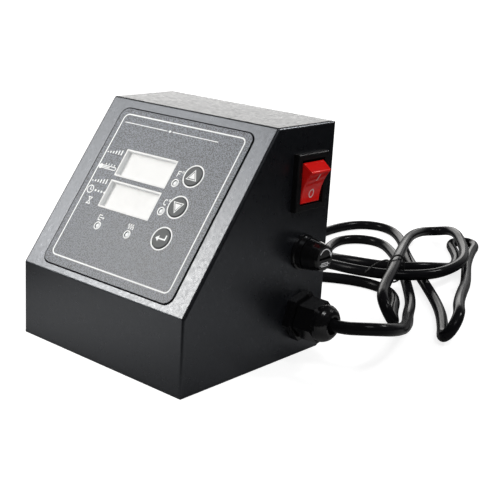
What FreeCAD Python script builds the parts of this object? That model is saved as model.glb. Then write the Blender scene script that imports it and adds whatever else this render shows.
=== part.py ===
"""Bench-top controller box for a small hand-held heat press.

A folded steel desk case with a sloping keypad, a chassis of base and rear panel, a mains
rocker switch, a fuse holder and a cable gland on the right side, an output socket behind,
the boards inside, and the mains lead with its plug.  Millimetres, +Z up, +Y to the back.
The origin is the centre of the footprint, on the underside of the base.
"""
import FreeCAD
import Part
import math
import os
import Sketcher
from FreeCAD import Placement, Rotation, Vector

doc = FreeCAD.newDocument("press_controller")
sheet = doc.addObject("Spreadsheet::Sheet", "Sizes")
sheet_row = 0
nodes = []


# ---------------------------------------------------------------- sizes in the sheet

class Size:
    """A number together with the spreadsheet formula that gives it."""

    def __init__(self, number, formula):
        self.number = float(number)
        self.formula = formula

    def __float__(self):
        return self.number

    def joined(self, sign, other, number):
        text = other.formula if isinstance(other, Size) else f"{other:.6g}"
        return Size(number, f"({self.formula} {sign} {text})")

    def __add__(self, other):
        return self.joined("+", other, self.number + float(other))

    def __sub__(self, other):
        return self.joined("-", other, self.number - float(other))

    def __mul__(self, other):
        return self.joined("*", other, self.number * float(other))

    def __truediv__(self, other):
        return self.joined("/", other, self.number / float(other))

    def __neg__(self):
        return Size(-self.number, f"(0 - {self.formula})")

    __radd__ = __add__
    __rmul__ = __mul__


def size(alias, number, note):
    """Write one driving dimension into the sheet and hand it back."""
    global sheet_row
    sheet_row += 1
    sheet.set(f"A{sheet_row}", note)
    sheet.set(f"B{sheet_row}", str(number))
    sheet.setAlias(f"B{sheet_row}", alias)
    return Size(number, f"Sizes.{alias}")


ZERO = size("zero", 0, "datum")

BOX_WIDTH = size("boxWidth", 122.4, "case, left to right")
BOX_DEPTH = size("boxDepth", 110.4, "case, front to back")
BOX_HEIGHT = size("boxHeight", 127.8, "case, to the top")
FRONT_HEIGHT = size("frontHeight", 41.5, "upright front below the slope")
SLOPE_RUN = size("slopeRun", 63.5, "slope, measured front to back")
GAUGE = size("caseGauge", 1.2, "case sheet thickness")
BASE_GAUGE = size("baseGauge", 1.5, "chassis sheet thickness")
SEAM = size("seamGap", 0.3, "gap between case and chassis")
BEND = size("bendRadius", 1.6, "outer bend radius of the case")
FLANGE = size("flangeWidth", 10, "inward flanges of the case")
EDGE_INSET = size("edgeInset", 0.4, "chassis edge inside the case edge")

SCREW_R = size("screwRadius", 1.5, "M3 screw")
CLEAR_R = size("clearRadius", 1.7, "clearance hole for M3")
HEAD_R = size("headRadius", 2.75, "M3 head")
HEAD_TALL = size("headHeight", 1.8, "pan head height")
SINK_DEEP = size("sinkDepth", 1.25, "countersunk head depth")
SCREW_LONG = size("screwLength", 6.5, "M3 screw length under the head")
NUT_R = size("clinchRadius", 3, "clinch nut")
NUT_TALL = size("clinchHeight", 2.6, "clinch nut")
HOLE_SIDE = size("flangeHoleSide", 6, "flange hole from the outside of the wall")
BASE_HOLE_Y = size("baseHoleY", 40, "base screws, to front and back of the middle")
REAR_HOLE_LOW = size("rearHoleLow", 16, "lower rear screws above the base")
REAR_HOLE_HIGH = size("rearHoleHigh", 113, "upper rear screws above the base")

FILM_SIDE = size("filmSide", 97, "keypad film, square")
FILM_CORNER = size("filmCorner", 5, "keypad film corner radius")
FILM_THICK = size("filmThickness", 0.5, "keypad film")
FILM_U = size("filmCentreAcross", 61.6, "film centre from the left edge of the slope")
FILM_W = size("filmCentreUp", 52.65, "film centre up the slope")
WINDOW_WIDE = size("windowWidth", 39, "display window")
WINDOW_TALL = size("windowHeight", 16.8, "display window")
WINDOW_U = size("windowAcross", 51.1, "window centre from the left edge")
WINDOW_UPPER_W = size("upperWindowUp", 69.15, "upper window centre up the slope")
WINDOW_PITCH = size("windowPitch", 19.15, "upper to lower window")
KEY_U = size("keyAcross", 85.2, "key column from the left edge")
KEY_TOP_W = size("keyTopUp", 71.25, "top key up the slope")
KEY_PITCH = size("keyPitch", 18.15, "key to key")
KEY_R = size("keyRadius", 5.5, "key cap")
KEY_HOLE_R = size("keyHoleRadius", 5.85, "key hole in film and case")
KEY_COLLAR_R = size("keyCollarRadius", 6.9, "collar behind the case")
KEY_PROUD = size("keyProud", 0.5, "key above the film")
KEY_TRAVEL = size("keyTravel", 0.3, "key stroke")
KEY_STEM_R = size("keyStemRadius", 1.7, "key stem")
LED_R = size("lampRadius", 1.5, "indicator lamp")
LED_HOLE_R = size("lampHoleRadius", 1.7, "indicator hole")

LAMPS = {
    "lamp_fahrenheit": (size("fahrenheitAcross", 75.6, "upper unit lamp"), size("fahrenheitUp", 65.35, "same")),
    "lamp_celsius": (size("celsiusAcross", 75.9, "lower unit lamp"), size("celsiusUp", 48.75, "same")),
    "lamp_work": (size("workAcross", 61.8, "heating lamp"), size("workUp", 31.55, "same")),
    "lamp_output": (size("outputAcross", 38.9, "output lamp"), size("outputUp", 31.35, "same")),
}

BOARD_DEEP = size("boardDepth", 9.6, "front of the display board behind the slope")
BOARD_THICK = size("boardThickness", 1.6, "circuit boards")
BOARD_WIDE = size("boardWidth", 92, "display board")
BOARD_TALL = size("boardHeight", 82, "display board")
BOARD_HOLE_IN = size("boardHoleInset", 5, "board holes from the board edges")
DISPLAY_WIDE = size("displayWidth", 42.6, "display module")
DISPLAY_TALL = size("displayHeight", 18.7, "display module")
DISPLAY_DEEP = size("displayDepth", 7.8, "display module")
SHIELD_WALL = size("shieldWall", 0.9, "light shield that lines each display window")
TACT_SIDE = size("tactSide", 6.2, "tact switch, square")
TACT_TALL = size("tactHeight", 4.6, "tact switch body")
TACT_WELL_R = size("tactWellRadius", 2.1, "well that the stem works in")
TACT_WELL_DEEP = size("tactWellDepth", 1.8, "depth of that well")
POST_R = size("postRadius", 2.6, "stand-off post")

FITTING_Y = size("fittingLine", 34.2, "line of the three side fittings")
SWITCH_Z = size("switchHeight", 98, "rocker switch centre")
FUSE_Z = size("fuseHeight", 59, "fuse holder centre")
GLAND_Z = size("glandHeight", 23.6, "cable gland centre")

BEZEL_WIDE = size("bezelWidth", 25.4, "rocker switch bezel")
BEZEL_TALL = size("bezelHeight", 30.6, "rocker switch bezel")
BEZEL_THICK = size("bezelThickness", 3.4, "rocker switch bezel")
BEZEL_RIM = size("bezelRim", 0.8, "rounding of the bezel front edge")
CUTOUT_WIDE = size("cutoutWidth", 22, "panel cut-out for the switch")
CUTOUT_TALL = size("cutoutHeight", 28, "panel cut-out for the switch")
PANEL_PLAY = size("panelPlay", 0.1, "play of a fitting inside its cut-out, each side")
SWITCH_DEEP = size("switchDepth", 22, "switch body behind the panel")
CAVITY_WIDE = size("cavityWidth", 19, "rocker cavity")
CAVITY_TALL = size("cavityHeight", 24.2, "rocker cavity")
CAVITY_DEEP = size("cavityDepth", 15, "rocker cavity behind the panel")
TAB_THICK = size("tabThickness", 0.8, "switch terminal tab")
TAB_WIDE = size("tabWidth", 6, "switch terminal tab")
TAB_LONG = size("tabLength", 9, "switch terminal tab")
ROCKER_WIDE = size("rockerWidth", 17.2, "rocker at its foot")
ROCKER_TOP_WIDE = size("rockerTopWidth", 15.7, "rocker across its ridge")
ROCKER_RISE = size("rockerRise", 7.7, "rocker ridge above the pivot")
ROCKER_HALF = size("rockerHalf", 9.5, "rocker ridge to either side of the pivot")
ROCKER_FOOT_HALF = size("rockerFootHalf", 11.4, "rocker foot to either side of the pivot")
ROCKER_FOOT_RISE = size("rockerFootRise", 0.3, "rocker foot above the pivot")
ROCKER_KEEL = size("rockerKeel", 4.4, "rocker underside below the pivot")
ROCKER_DISH = size("rockerDish", 1.8, "hollow in the middle of the rocker face")
ROCKER_EDGE = size("rockerEdge", 0.8, "rounding of the rocker face edges")
ROCKER_TILT = size("rockerTilt", 20, "rocker tilt either way, degrees")
PIVOT_DEEP = size("pivotDepth", 1.3, "rocker pivot behind the panel face")
PIN_R = size("pivotPinRadius", 1.5, "rocker pivot pin")
PIN_PLAY = size("pivotPlay", 0.05, "running clearance on the pin")

FUSE_FLANGE_R = size("fuseFlangeRadius", 9.8, "fuse holder flange")
FUSE_THREAD_R = size("fuseThreadRadius", 6.9, "fuse holder thread")
FUSE_BORE_R = size("fuseBoreRadius", 3.4, "tube that the fuse slides in")
FUSE_MOUTH_R = size("fuseMouthRadius", 5.3, "mouth round the fuse clip")
FUSE_R = size("fuseRadius", 2.6, "5 x 20 fuse")
FUSE_LONG = size("fuseLength", 20, "5 x 20 fuse")
FUSE_CAP_END = size("fuseCapEnd", 15.3, "fuse cap end outside the panel")
FUSE_BOSS_R = size("fuseBossRadius", 8.9, "holder boss outside its flange")
CAP_R = size("capRadius", 8.6, "fuse cap beside the holder")
CAP_WAIST_R = size("capWaistRadius", 8, "fuse cap where its end starts to taper")
CAP_END_R = size("capEndRadius", 6.6, "flat end of the fuse cap")
CAP_ROUND = size("capRound", 1.3, "rounding round that flat end")
CLIP_RISE = size("clipRise", 3, "how far the fuse clip reaches into the cap")

GLAND_FLATS = size("glandFlats", 24, "gland body across its flats")
GLAND_NUT_FLATS = size("glandNutFlats", 20.6, "gland clamp nut across its flats")
GLAND_THREAD_R = size("glandThreadRadius", 9.3, "gland thread")
GLAND_BORE_R = size("glandBoreRadius", 5, "gland bore")
GLAND_TURN = size("glandTurn", 13, "hexagons turned from point-up, degrees")
GLAND_HEX_TALL = size("glandHexHeight", 5, "gland body hexagon")
GLAND_SHANK = size("glandShank", 10, "gland thread behind the panel")
GLAND_SPIGOT = size("glandSpigot", 14, "gland spigot outside the panel")
GLAND_NUT_LOW = size("glandNutLow", 6, "near end of the clamp nut")
GLAND_NUT_TOP = size("glandNutTop", 17, "far end of the clamp nut flats")
GLAND_DOME_END = size("glandDomeEnd", 24.2, "gland dome end outside the panel")
SEAL_LOW = size("sealLow", 2, "near end of the seal")
LOCKNUT_TALL = size("locknutHeight", 4.5, "gland locknut")
GLAND_MOUTH = size("glandMouth", 21, "where the lead leaves the seal, outside the panel")

LEAD_R = size("leadRadius", 3.5, "mains lead")
TAIL_DEEP = size("tailDepth", 18, "end of the sheath behind the panel")

SOCKET_X = size("socketAcross", -30, "output socket from the middle")
SOCKET_Z = size("socketHeight", 34, "output socket above the base")
SOCKET_R = size("socketRadius", 7.9, "output socket thread")
SOCKET_BORE_R = size("socketBoreRadius", 6.4, "output socket mouth")
SOCKET_FRONT = size("socketFront", 10, "output socket outside the panel")
SOCKET_BACK = size("socketBack", 12, "output socket behind the panel face")
SOCKET_RIM = size("socketRim", 2, "output socket flange, thickness and overhang")
SOCKET_NUT_TALL = size("socketNutHeight", 3, "output socket nut")
SOCKET_PIN_R = size("socketPinRadius", 0.9, "output socket pin")
SOCKET_PIN_CIRCLE = size("socketPinCircle", 3.3, "output socket pins from the middle")
SOCKET_PIN_LONG = size("socketPinLength", 21, "output socket pin")
SOCKET_PIN_TAIL = size("socketPinTail", 5, "solder tail behind the insert")
SLOT_WIDE = size("ventWidth", 3, "vent slot")
SLOT_TALL = size("ventHeight", 26, "vent slot")
SLOT_PITCH = size("ventPitch", 8, "vent slot to slot")
SLOT_COUNT = 9
SLOT_Z = size("ventMiddle", 84, "vent slots, middle height")

MAIN_BOARD_WIDE = size("mainBoardWidth", 84, "power board")
MAIN_BOARD_LONG = size("mainBoardLength", 62, "power board, front to back")
MAIN_BOARD_X = size("mainBoardX", -8, "power board middle")
MAIN_BOARD_Y = size("mainBoardY", -13, "power board middle")
MAIN_BOARD_LIFT = size("mainBoardLift", 9.5, "underside of the power board")
CORE_X = size("coreX", -27, "transformer middle")
CORE_Y = size("coreY", -6, "transformer middle")
CORE_LEG = size("coreLeg", 7, "outer leg of the transformer core")
RELAY_X = size("relayX", 13, "relay middle")
RELAY_Y = size("relayY", -29, "relay middle")
RELAY_WIDE = size("relayWidth", 19, "relay")
RELAY_DEEP = size("relayDepth", 15.4, "relay")
RELAY_TALL = size("relayHeight", 15.3, "relay")
CAN_X = size("canX", 18, "capacitor middle")
CAN_Y = size("canY", -6, "capacitor middle")
CAN_R = size("canRadius", 5, "capacitor")
CAN_TALL = size("canHeight", 17, "capacitor")
TERMINAL_X = size("terminalX", -6, "terminal block middle")
TERMINAL_Y = size("terminalY", 13.1, "terminal block middle")
TERMINAL_WIDE = size("terminalWidth", 44, "terminal block")
TERMINAL_DEEP = size("terminalDepth", 9.4, "terminal block")
TERMINAL_TALL = size("terminalHeight", 13, "terminal block")
TERMINAL_PITCH = size("terminalPitch", 8, "screw to screw")
TERMINAL_COUNT = 5
WELL_R = size("wellRadius", 1.8, "screw well of the terminal block")
WELL_DEEP = size("wellDepth", 4, "screw well of the terminal block")
EARTH_X = size("earthX", 43, "earth stud")
EARTH_Y = size("earthY", 8, "earth stud")
STUD_R = size("studRadius", 2, "earth stud")
STUD_TALL = size("studHeight", 11, "earth stud")
STUD_FLATS = size("studFlats", 7, "earth nut across its flats")
STUD_NUT_TALL = size("studNutHeight", 3.2, "earth nut")
WASHER_R = size("washerRadius", 4, "earth washer")
WASHER_THICK = size("washerThickness", 1.2, "earth washer")
WIRE_R = size("wireRadius", 1.1, "conductors inside the case")
RIBBON_WIDE = size("ribbonWidth", 12.7, "ribbon cable")
RIBBON_THICK = size("ribbonThickness", 0.9, "ribbon cable")

RELIEF_LONG = size("reliefLength", 24, "strain relief of the plug")
PLUG_LONG = size("plugLength", 31.5, "plug body")
PLUG_WIDE = size("plugWidth", 28, "plug body")
PLUG_TALL = size("plugHeight", 24, "plug body")
BLADE_THICK = size("bladeThickness", 1.5, "plug blade")
BLADE_WIDE = size("bladeWidth", 6.35, "plug blade")
BLADE_LONG = size("bladeLength", 17.5, "plug blade")
BLADE_PITCH = size("bladePitch", 12.7, "plug blade to blade")
BLADE_UP = size("bladeUp", 3, "blades above the middle of the plug")
EARTH_PIN_R = size("earthPinRadius", 2.4, "plug earth pin")
EARTH_PIN_LONG = size("earthPinLength", 19.5, "plug earth pin")
EARTH_PIN_DOWN = size("earthPinDown", 6, "earth pin below the middle of the plug")

doc.recompute()


# ---------------------------------------------------------------- helpers

def bind(thing, **sizes):
    """Bind properties of an object to formulas in the sheet."""
    for name, amount in sizes.items():
        if isinstance(amount, Size):
            thing.setExpression(name, amount.formula)
        else:
            setattr(thing, name, amount)
    return thing


def spot(x, y, z):
    """A vector from sizes or numbers."""
    return Vector(float(x), float(y), float(z))


def local(frame, x, y, z, turn=0):
    """A placement inside a frame, turned about the frame's own z."""
    return frame.multiply(Placement(spot(x, y, z), Rotation(Vector(0, 0, 1), float(turn))))


def keep(thing, label, placement=None):
    """Register a finished sub-part under its label."""
    thing.Label = label
    if placement is not None:
        thing.Placement = placement
    nodes.append(thing)
    return thing


def box(name, wide, deep, tall, frame, x=0, y=0, z=0):
    """A block centred on x and y, standing on z."""
    block = doc.addObject("Part::Box", name)
    bind(block, Length=wide, Width=deep, Height=tall)
    block.Placement = local(frame, float(x) - float(wide) / 2, float(y) - float(deep) / 2, z)
    return block


def cylinder(name, radius, tall, frame, x=0, y=0, z=0):
    rod = doc.addObject("Part::Cylinder", name)
    bind(rod, Radius=radius, Height=tall)
    rod.Placement = local(frame, x, y, z)
    return rod


def cone(name, low_radius, high_radius, tall, frame, x=0, y=0, z=0):
    taper = doc.addObject("Part::Cone", name)
    bind(taper, Radius1=low_radius, Radius2=high_radius, Height=tall)
    taper.Placement = local(frame, x, y, z)
    return taper


def hexagon(name, flats, tall, frame, z=0, turn=0):
    """A hexagonal prism given across its flats."""
    prism = doc.addObject("Part::Prism", name)
    prism.Polygon = 6
    bind(prism, Circumradius=flats / math.sqrt(3), Height=tall)
    prism.Placement = local(frame, 0, 0, z, turn)
    return prism


def joined(name, pieces):
    group = doc.addObject("Part::MultiFuse", name)
    group.Shapes = pieces
    return group


def cut(name, base, tools):
    """Take the tools away from the base."""
    result = doc.addObject("Part::Cut", name)
    result.Base = base
    result.Tool = tools[0] if len(tools) == 1 else joined(name + "_tools", tools)
    return result


def new_body(name):
    return doc.addObject("PartDesign::Body", name)


def new_sketch(body, name, role, offset=None):
    """A sketch on one of the body's own origin planes."""
    sketch = body.newObject("Sketcher::SketchObject", name)
    plane = [item for item in body.Origin.OriginFeatures if item.Role == role][0]
    sketch.AttachmentSupport = [(plane, "")]
    sketch.MapMode = "FlatFace"
    if offset is not None:
        sketch.AttachmentOffset = offset
    return sketch


def fix_point(sketch, geometry, point, x, y):
    """Tie a point of a sketch to sheet formulas, measured from the sketch origin."""
    for kind, amount in (("DistanceX", x), ("DistanceY", y)):
        index = sketch.addConstraint(Sketcher.Constraint(kind, -1, 1, geometry, point, float(amount)))
        if isinstance(amount, Size):
            sketch.setExpression(f"Constraints[{index}]", amount.formula)


def outline(sketch, corners):
    """A closed outline of straight lines through (x, y) corners."""
    first = sketch.GeometryCount
    count = len(corners)
    points = [spot(x, y, 0) for x, y in corners]
    for number, point in enumerate(points):
        sketch.addGeometry(Part.LineSegment(point, points[(number + 1) % count]), False)
    for number in range(count):
        after = first + (number + 1) % count
        sketch.addConstraint(Sketcher.Constraint("Coincident", first + number, 2, after, 1))
    for number, (x, y) in enumerate(corners):
        fix_point(sketch, first + number, 1, x, y)


def rectangle(sketch, x, y, wide, tall):
    """A rectangle centred on x, y."""
    outline(sketch, [(x - wide / 2, y - tall / 2), (x + wide / 2, y - tall / 2),
                     (x + wide / 2, y + tall / 2), (x - wide / 2, y + tall / 2)])


def circle(sketch, x, y, radius):
    ring = Part.Circle(spot(x, y, 0), Vector(0, 0, 1), float(radius))
    geometry = sketch.addGeometry(ring, False)
    fix_point(sketch, geometry, 3, x, y)
    index = sketch.addConstraint(Sketcher.Constraint("Radius", geometry, float(radius)))
    sketch.setExpression(f"Constraints[{index}]", radius.formula)


def pad(body, sketch, name, length, side="One side", back=False):
    feature = body.newObject("PartDesign::Pad", name)
    feature.Profile = sketch
    bind(feature, Length=length)
    feature.SideType = side
    feature.Reversed = back
    doc.recompute()
    return feature


def pocket(body, sketch, name, length, side="One side", back=False):
    """Cut a pocket and make sure that it has cut something."""
    before = body.Shape.Volume
    feature = body.newObject("PartDesign::Pocket", name)
    feature.Profile = sketch
    bind(feature, Length=length)
    feature.SideType = side
    feature.Reversed = back
    doc.recompute()
    if before - body.Shape.Volume < 1e-3:
        raise RuntimeError(f"{name} cuts nothing")
    return feature


def fillet(body, base, name, edges, radius):
    feature = body.newObject("PartDesign::Fillet", name)
    feature.Base = (base, edges)
    bind(feature, Radius=radius)
    doc.recompute()
    return feature


def edges_where(shape, test):
    """Names of the edges whose two end points both pass a test of (x, y, z)."""
    found = []
    for number, edge in enumerate(shape.Edges, 1):
        ends = [vertex.Point for vertex in edge.Vertexes]
        if test(ends):
            found.append(f"Edge{number}")
    return found


def turned(name, profile, frame):
    """A body of revolution about the frame's z, from (radius, height) corners."""
    body = new_body(name)
    sketch = new_sketch(body, name + "_profile", "XZ_Plane")
    outline(sketch, profile)
    feature = body.newObject("PartDesign::Revolution", name + "_turn")
    feature.Profile = sketch
    feature.ReferenceAxis = (sketch, ["V_Axis"])
    feature.Angle = 360
    doc.recompute()
    body.Placement = frame
    return body


# ---------------------------------------------------------------- frames

HALF_WIDE = BOX_WIDTH / 2
HALF_DEEP = BOX_DEPTH / 2
SLOPE_ANGLE = math.atan2(float(BOX_HEIGHT - FRONT_HEIGHT), float(SLOPE_RUN))
WORLD = Placement()
SLOPE = Placement(spot(-HALF_WIDE, -HALF_DEEP, FRONT_HEIGHT),
                  Rotation(Vector(1, 0, 0), math.degrees(SLOPE_ANGLE)))
OUT_RIGHT = Rotation(Vector(1, 1, 1), 120)
OUT_BACK = Rotation(Vector(-1, 0, 0), Vector(0, 0, 1), Vector(0, 1, 0), "ZXY")


def right_side(height):
    """Frame on the right wall: x to the back, y up, z outwards."""
    return Placement(spot(HALF_WIDE, FITTING_Y, height), OUT_RIGHT)


def rear_side(x, height):
    """Frame on the rear panel: x to the left seen from the front, y up, z outwards."""
    return Placement(spot(x, HALF_DEEP, height), OUT_BACK)


# ---------------------------------------------------------------- case

CASE_FOOT = BASE_GAUGE + SEAM
CASE_BACK = HALF_DEEP - BASE_GAUGE - SEAM


def case_outline(inset, low, back):
    """Side outline of the case, its skin moved inwards by inset."""
    across = math.tan(SLOPE_ANGLE / 2 - math.pi / 4)
    above = math.tan(SLOPE_ANGLE / 2)
    return [(-HALF_DEEP + inset, low), (-HALF_DEEP + inset, FRONT_HEIGHT + inset * across),
            (SLOPE_RUN - HALF_DEEP + inset * above, BOX_HEIGHT - inset),
            (back, BOX_HEIGHT - inset), (back, low)]


def case_flanges(body):
    """Inward flanges round the open bottom and the open back."""
    wall = GAUGE / 2
    sketch = new_sketch(body, "floor_flange", "XY_Plane", Placement(spot(0, 0, CASE_FOOT), Rotation()))
    outline(sketch, [(-HALF_WIDE + wall, CASE_BACK), (-HALF_WIDE + wall, -HALF_DEEP + wall),
                     (HALF_WIDE - wall, -HALF_DEEP + wall), (HALF_WIDE - wall, CASE_BACK),
                     (HALF_WIDE - FLANGE, CASE_BACK), (HALF_WIDE - FLANGE, FLANGE - HALF_DEEP),
                     (FLANGE - HALF_WIDE, FLANGE - HALF_DEEP), (FLANGE - HALF_WIDE, CASE_BACK)])
    pad(body, sketch, "floor_flange_pad", GAUGE)
    sketch = new_sketch(body, "rear_flange", "XZ_Plane", Placement(spot(0, 0, -CASE_BACK), Rotation()))
    top = BOX_HEIGHT - wall
    outline(sketch, [(-HALF_WIDE + wall, CASE_FOOT), (-HALF_WIDE + wall, top),
                     (HALF_WIDE - wall, top), (HALF_WIDE - wall, CASE_FOOT),
                     (HALF_WIDE - FLANGE, CASE_FOOT), (HALF_WIDE - FLANGE, BOX_HEIGHT - FLANGE),
                     (FLANGE - HALF_WIDE, BOX_HEIGHT - FLANGE), (FLANGE - HALF_WIDE, CASE_FOOT)])
    pad(body, sketch, "rear_flange_pad", GAUGE)


def keypad_openings(sketch, margin):
    """Display windows, key holes and lamp holes, each larger all round by margin."""
    for row in range(2):
        rectangle(sketch, WINDOW_U, WINDOW_UPPER_W - WINDOW_PITCH * row,
                  WINDOW_WIDE + 2 * margin, WINDOW_TALL + 2 * margin)
    for row in range(3):
        circle(sketch, KEY_U, KEY_TOP_W - KEY_PITCH * row, KEY_HOLE_R + margin)
    for across, up in LAMPS.values():
        circle(sketch, across, up, LED_HOLE_R + margin)


def make_case():
    body = new_body("Case")
    sketch = new_sketch(body, "side_outline", "YZ_Plane")
    outline(sketch, case_outline(ZERO, CASE_FOOT, CASE_BACK))
    block = pad(body, sketch, "outer_block", BOX_WIDTH, "Symmetric")
    low = float(CASE_FOOT)
    back = float(CASE_BACK)

    def folded(ends):
        open_foot = all(abs(end.z - low) < 1e-6 for end in ends)
        open_back = all(abs(end.y - back) < 1e-6 for end in ends)
        return not open_foot and not open_back

    fillet(body, block, "folds", edges_where(block.Shape, folded), BEND)
    sketch = new_sketch(body, "hollow_outline", "YZ_Plane")
    outline(sketch, case_outline(GAUGE, CASE_FOOT - FLANGE, CASE_BACK + FLANGE))
    pocket(body, sketch, "hollow", BOX_WIDTH - 2 * GAUGE, "Symmetric")
    case_flanges(body)

    sketch = new_sketch(body, "slope_openings", "XY_Plane", SLOPE)
    keypad_openings(sketch, SEAM)
    pocket(body, sketch, "slope_openings_cut", GAUGE * 2)

    sketch = new_sketch(body, "side_openings", "YZ_Plane", Placement(spot(0, 0, HALF_WIDE), Rotation()))
    rectangle(sketch, FITTING_Y, SWITCH_Z, CUTOUT_WIDE, CUTOUT_TALL)
    circle(sketch, FITTING_Y, FUSE_Z, FUSE_THREAD_R + PANEL_PLAY)
    circle(sketch, FITTING_Y, GLAND_Z, GLAND_THREAD_R + PANEL_PLAY)
    pocket(body, sketch, "side_openings_cut", GAUGE * 2)

    sketch = new_sketch(body, "floor_holes", "XY_Plane", Placement(spot(0, 0, CASE_FOOT), Rotation()))
    for x, y in base_screw_places():
        circle(sketch, x, y, CLEAR_R)
    pocket(body, sketch, "floor_holes_cut", GAUGE * 2, back=True)
    sketch = new_sketch(body, "rear_holes", "XZ_Plane", Placement(spot(0, 0, -CASE_BACK), Rotation()))
    for x, z in rear_screw_places():
        circle(sketch, x, z, CLEAR_R)
    pocket(body, sketch, "rear_holes_cut", GAUGE * 2, back=True)
    keep(body, "case")


def base_screw_places():
    side = HALF_WIDE - HOLE_SIDE
    return [(side * way, BASE_HOLE_Y * end) for way in (-1, 1) for end in (-1, 1)]


def rear_screw_places():
    side = HALF_WIDE - HOLE_SIDE
    return [(side * way, height) for way in (-1, 1) for height in (REAR_HOLE_LOW, REAR_HOLE_HIGH)]


def make_chassis():
    """Base and rear panel bent from one sheet."""
    body = new_body("Chassis")
    front = EDGE_INSET - HALF_DEEP
    top = BOX_HEIGHT - EDGE_INSET
    sketch = new_sketch(body, "angle_outline", "YZ_Plane")
    outline(sketch, [(front, ZERO), (HALF_DEEP, ZERO), (HALF_DEEP, top), (HALF_DEEP - BASE_GAUGE, top),
                     (HALF_DEEP - BASE_GAUGE, BASE_GAUGE), (front, BASE_GAUGE)])
    angle = pad(body, sketch, "angle", BOX_WIDTH - 2 * EDGE_INSET, "Symmetric")

    def heel(ends):
        return all(abs(end.z) < 1e-6 and abs(end.y - float(HALF_DEEP)) < 1e-6 for end in ends)

    fillet(body, angle, "heel_bend", edges_where(angle.Shape, heel), BEND)
    sketch = new_sketch(body, "base_holes", "XY_Plane")
    for x, y in base_screw_places():
        circle(sketch, x, y, CLEAR_R)
    for x, y in board_post_places():
        circle(sketch, x, y, SCREW_R)
    holes = pocket(body, sketch, "base_holes_cut", BASE_GAUGE * 2, back=True)
    rims = [f"Edge{number}" for number, edge in enumerate(holes.Shape.Edges, 1)
            if edge.BoundBox.ZMax < 1e-6 and isinstance(edge.Curve, Part.Circle)
            and abs(edge.Curve.Radius - float(CLEAR_R)) < 1e-6]
    sinks = body.newObject("PartDesign::Chamfer", "countersinks")
    sinks.Base = (holes, rims)
    bind(sinks, Size=HEAD_R - CLEAR_R)
    doc.recompute()
    sketch = new_sketch(body, "rear_panel_holes", "XZ_Plane", Placement(spot(0, 0, -HALF_DEEP), Rotation()))
    for x, z in rear_screw_places():
        circle(sketch, x, z, CLEAR_R)
    circle(sketch, SOCKET_X, SOCKET_Z, SOCKET_R + PANEL_PLAY)
    pocket(body, sketch, "rear_panel_holes_cut", BASE_GAUGE * 2, back=True)
    sketch = new_sketch(body, "vent_slot", "XZ_Plane", Placement(spot(0, 0, -HALF_DEEP), Rotation()))
    rectangle(sketch, SLOT_PITCH * (-(SLOT_COUNT - 1) / 2), SLOT_Z, SLOT_WIDE, SLOT_TALL)
    slot = pocket(body, sketch, "vent_slot_cut", BASE_GAUGE * 2, back=True)
    slots = body.newObject("PartDesign::LinearPattern", "vent_slots")
    slots.Originals = [slot]
    slots.Direction = (sketch, ["H_Axis"])
    bind(slots, Length=SLOT_PITCH * (SLOT_COUNT - 1))
    slots.Occurrences = SLOT_COUNT
    body.Tip = slots
    doc.recompute()
    keep(body, "chassis")


def board_post_places():
    """Corners of the power board's four fixings."""
    half_x = MAIN_BOARD_WIDE / 2 - BOARD_HOLE_IN
    half_y = MAIN_BOARD_LONG / 2 - BOARD_HOLE_IN
    return [(MAIN_BOARD_X + half_x * way, MAIN_BOARD_Y + half_y * end) for way in (-1, 1) for end in (-1, 1)]


def display_post_places():
    half_x = BOARD_WIDE / 2 - BOARD_HOLE_IN
    half_y = BOARD_TALL / 2 - BOARD_HOLE_IN
    return [(FILM_U + half_x * way, FILM_W + half_y * end) for way in (-1, 1) for end in (-1, 1)]


# ---------------------------------------------------------------- fasteners

def sunk_screw(name, frame, x, y):
    """Countersunk screw whose head is flush with the frame's z = 0, pointing along z."""
    head = cone(name + "_head", HEAD_R, SCREW_R, SINK_DEEP, frame, x, y)
    shank = cylinder(name + "_shank", SCREW_R, SCREW_LONG, frame, x, y)
    return joined(name, [head, shank])


def pan_screw(name, frame, x, y):
    """Pan head screw: head above the frame's z = 0, shank below."""
    head = cylinder(name + "_head", HEAD_R, HEAD_TALL, frame, x, y)
    shank = cylinder(name + "_shank", SCREW_R, SCREW_LONG, frame, x, y, -SCREW_LONG)
    drive = hexagon(name + "_drive", SCREW_R * 1.33, HEAD_TALL, local(frame, x, y, HEAD_TALL / 2))
    return cut(name, joined(name + "_blank", [head, shank]), [drive])


def ring(name, outer, inner, tall, frame, x, y, z):
    core = cylinder(name + "_core", inner, tall, frame, x, y, z)
    return cut(name, cylinder(name + "_blank", outer, tall, frame, x, y, z), [core])


def make_fasteners():
    screws = [sunk_screw(f"base_screw_{n}", WORLD, x, y) for n, (x, y) in enumerate(base_screw_places())]
    keep(joined("base_screws", screws), "base_screws")
    rear = rear_side(ZERO, ZERO)
    screws = [pan_screw(f"rear_screw_{n}", rear, x, z) for n, (x, z) in enumerate(rear_screw_places())]
    keep(joined("rear_screws", screws), "rear_screws")
    nuts = [ring(f"floor_nut_{n}", NUT_R, SCREW_R, NUT_TALL, WORLD, x, y, CASE_FOOT + GAUGE)
            for n, (x, y) in enumerate(base_screw_places())]
    inside = CASE_BACK - HALF_DEEP - GAUGE - NUT_TALL
    nuts += [ring(f"rear_nut_{n}", NUT_R, SCREW_R, NUT_TALL, rear, x, z, inside)
             for n, (x, z) in enumerate(rear_screw_places())]
    keep(joined("clinch_nuts", nuts), "clinch_nuts")


# ---------------------------------------------------------------- keypad and display

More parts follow.
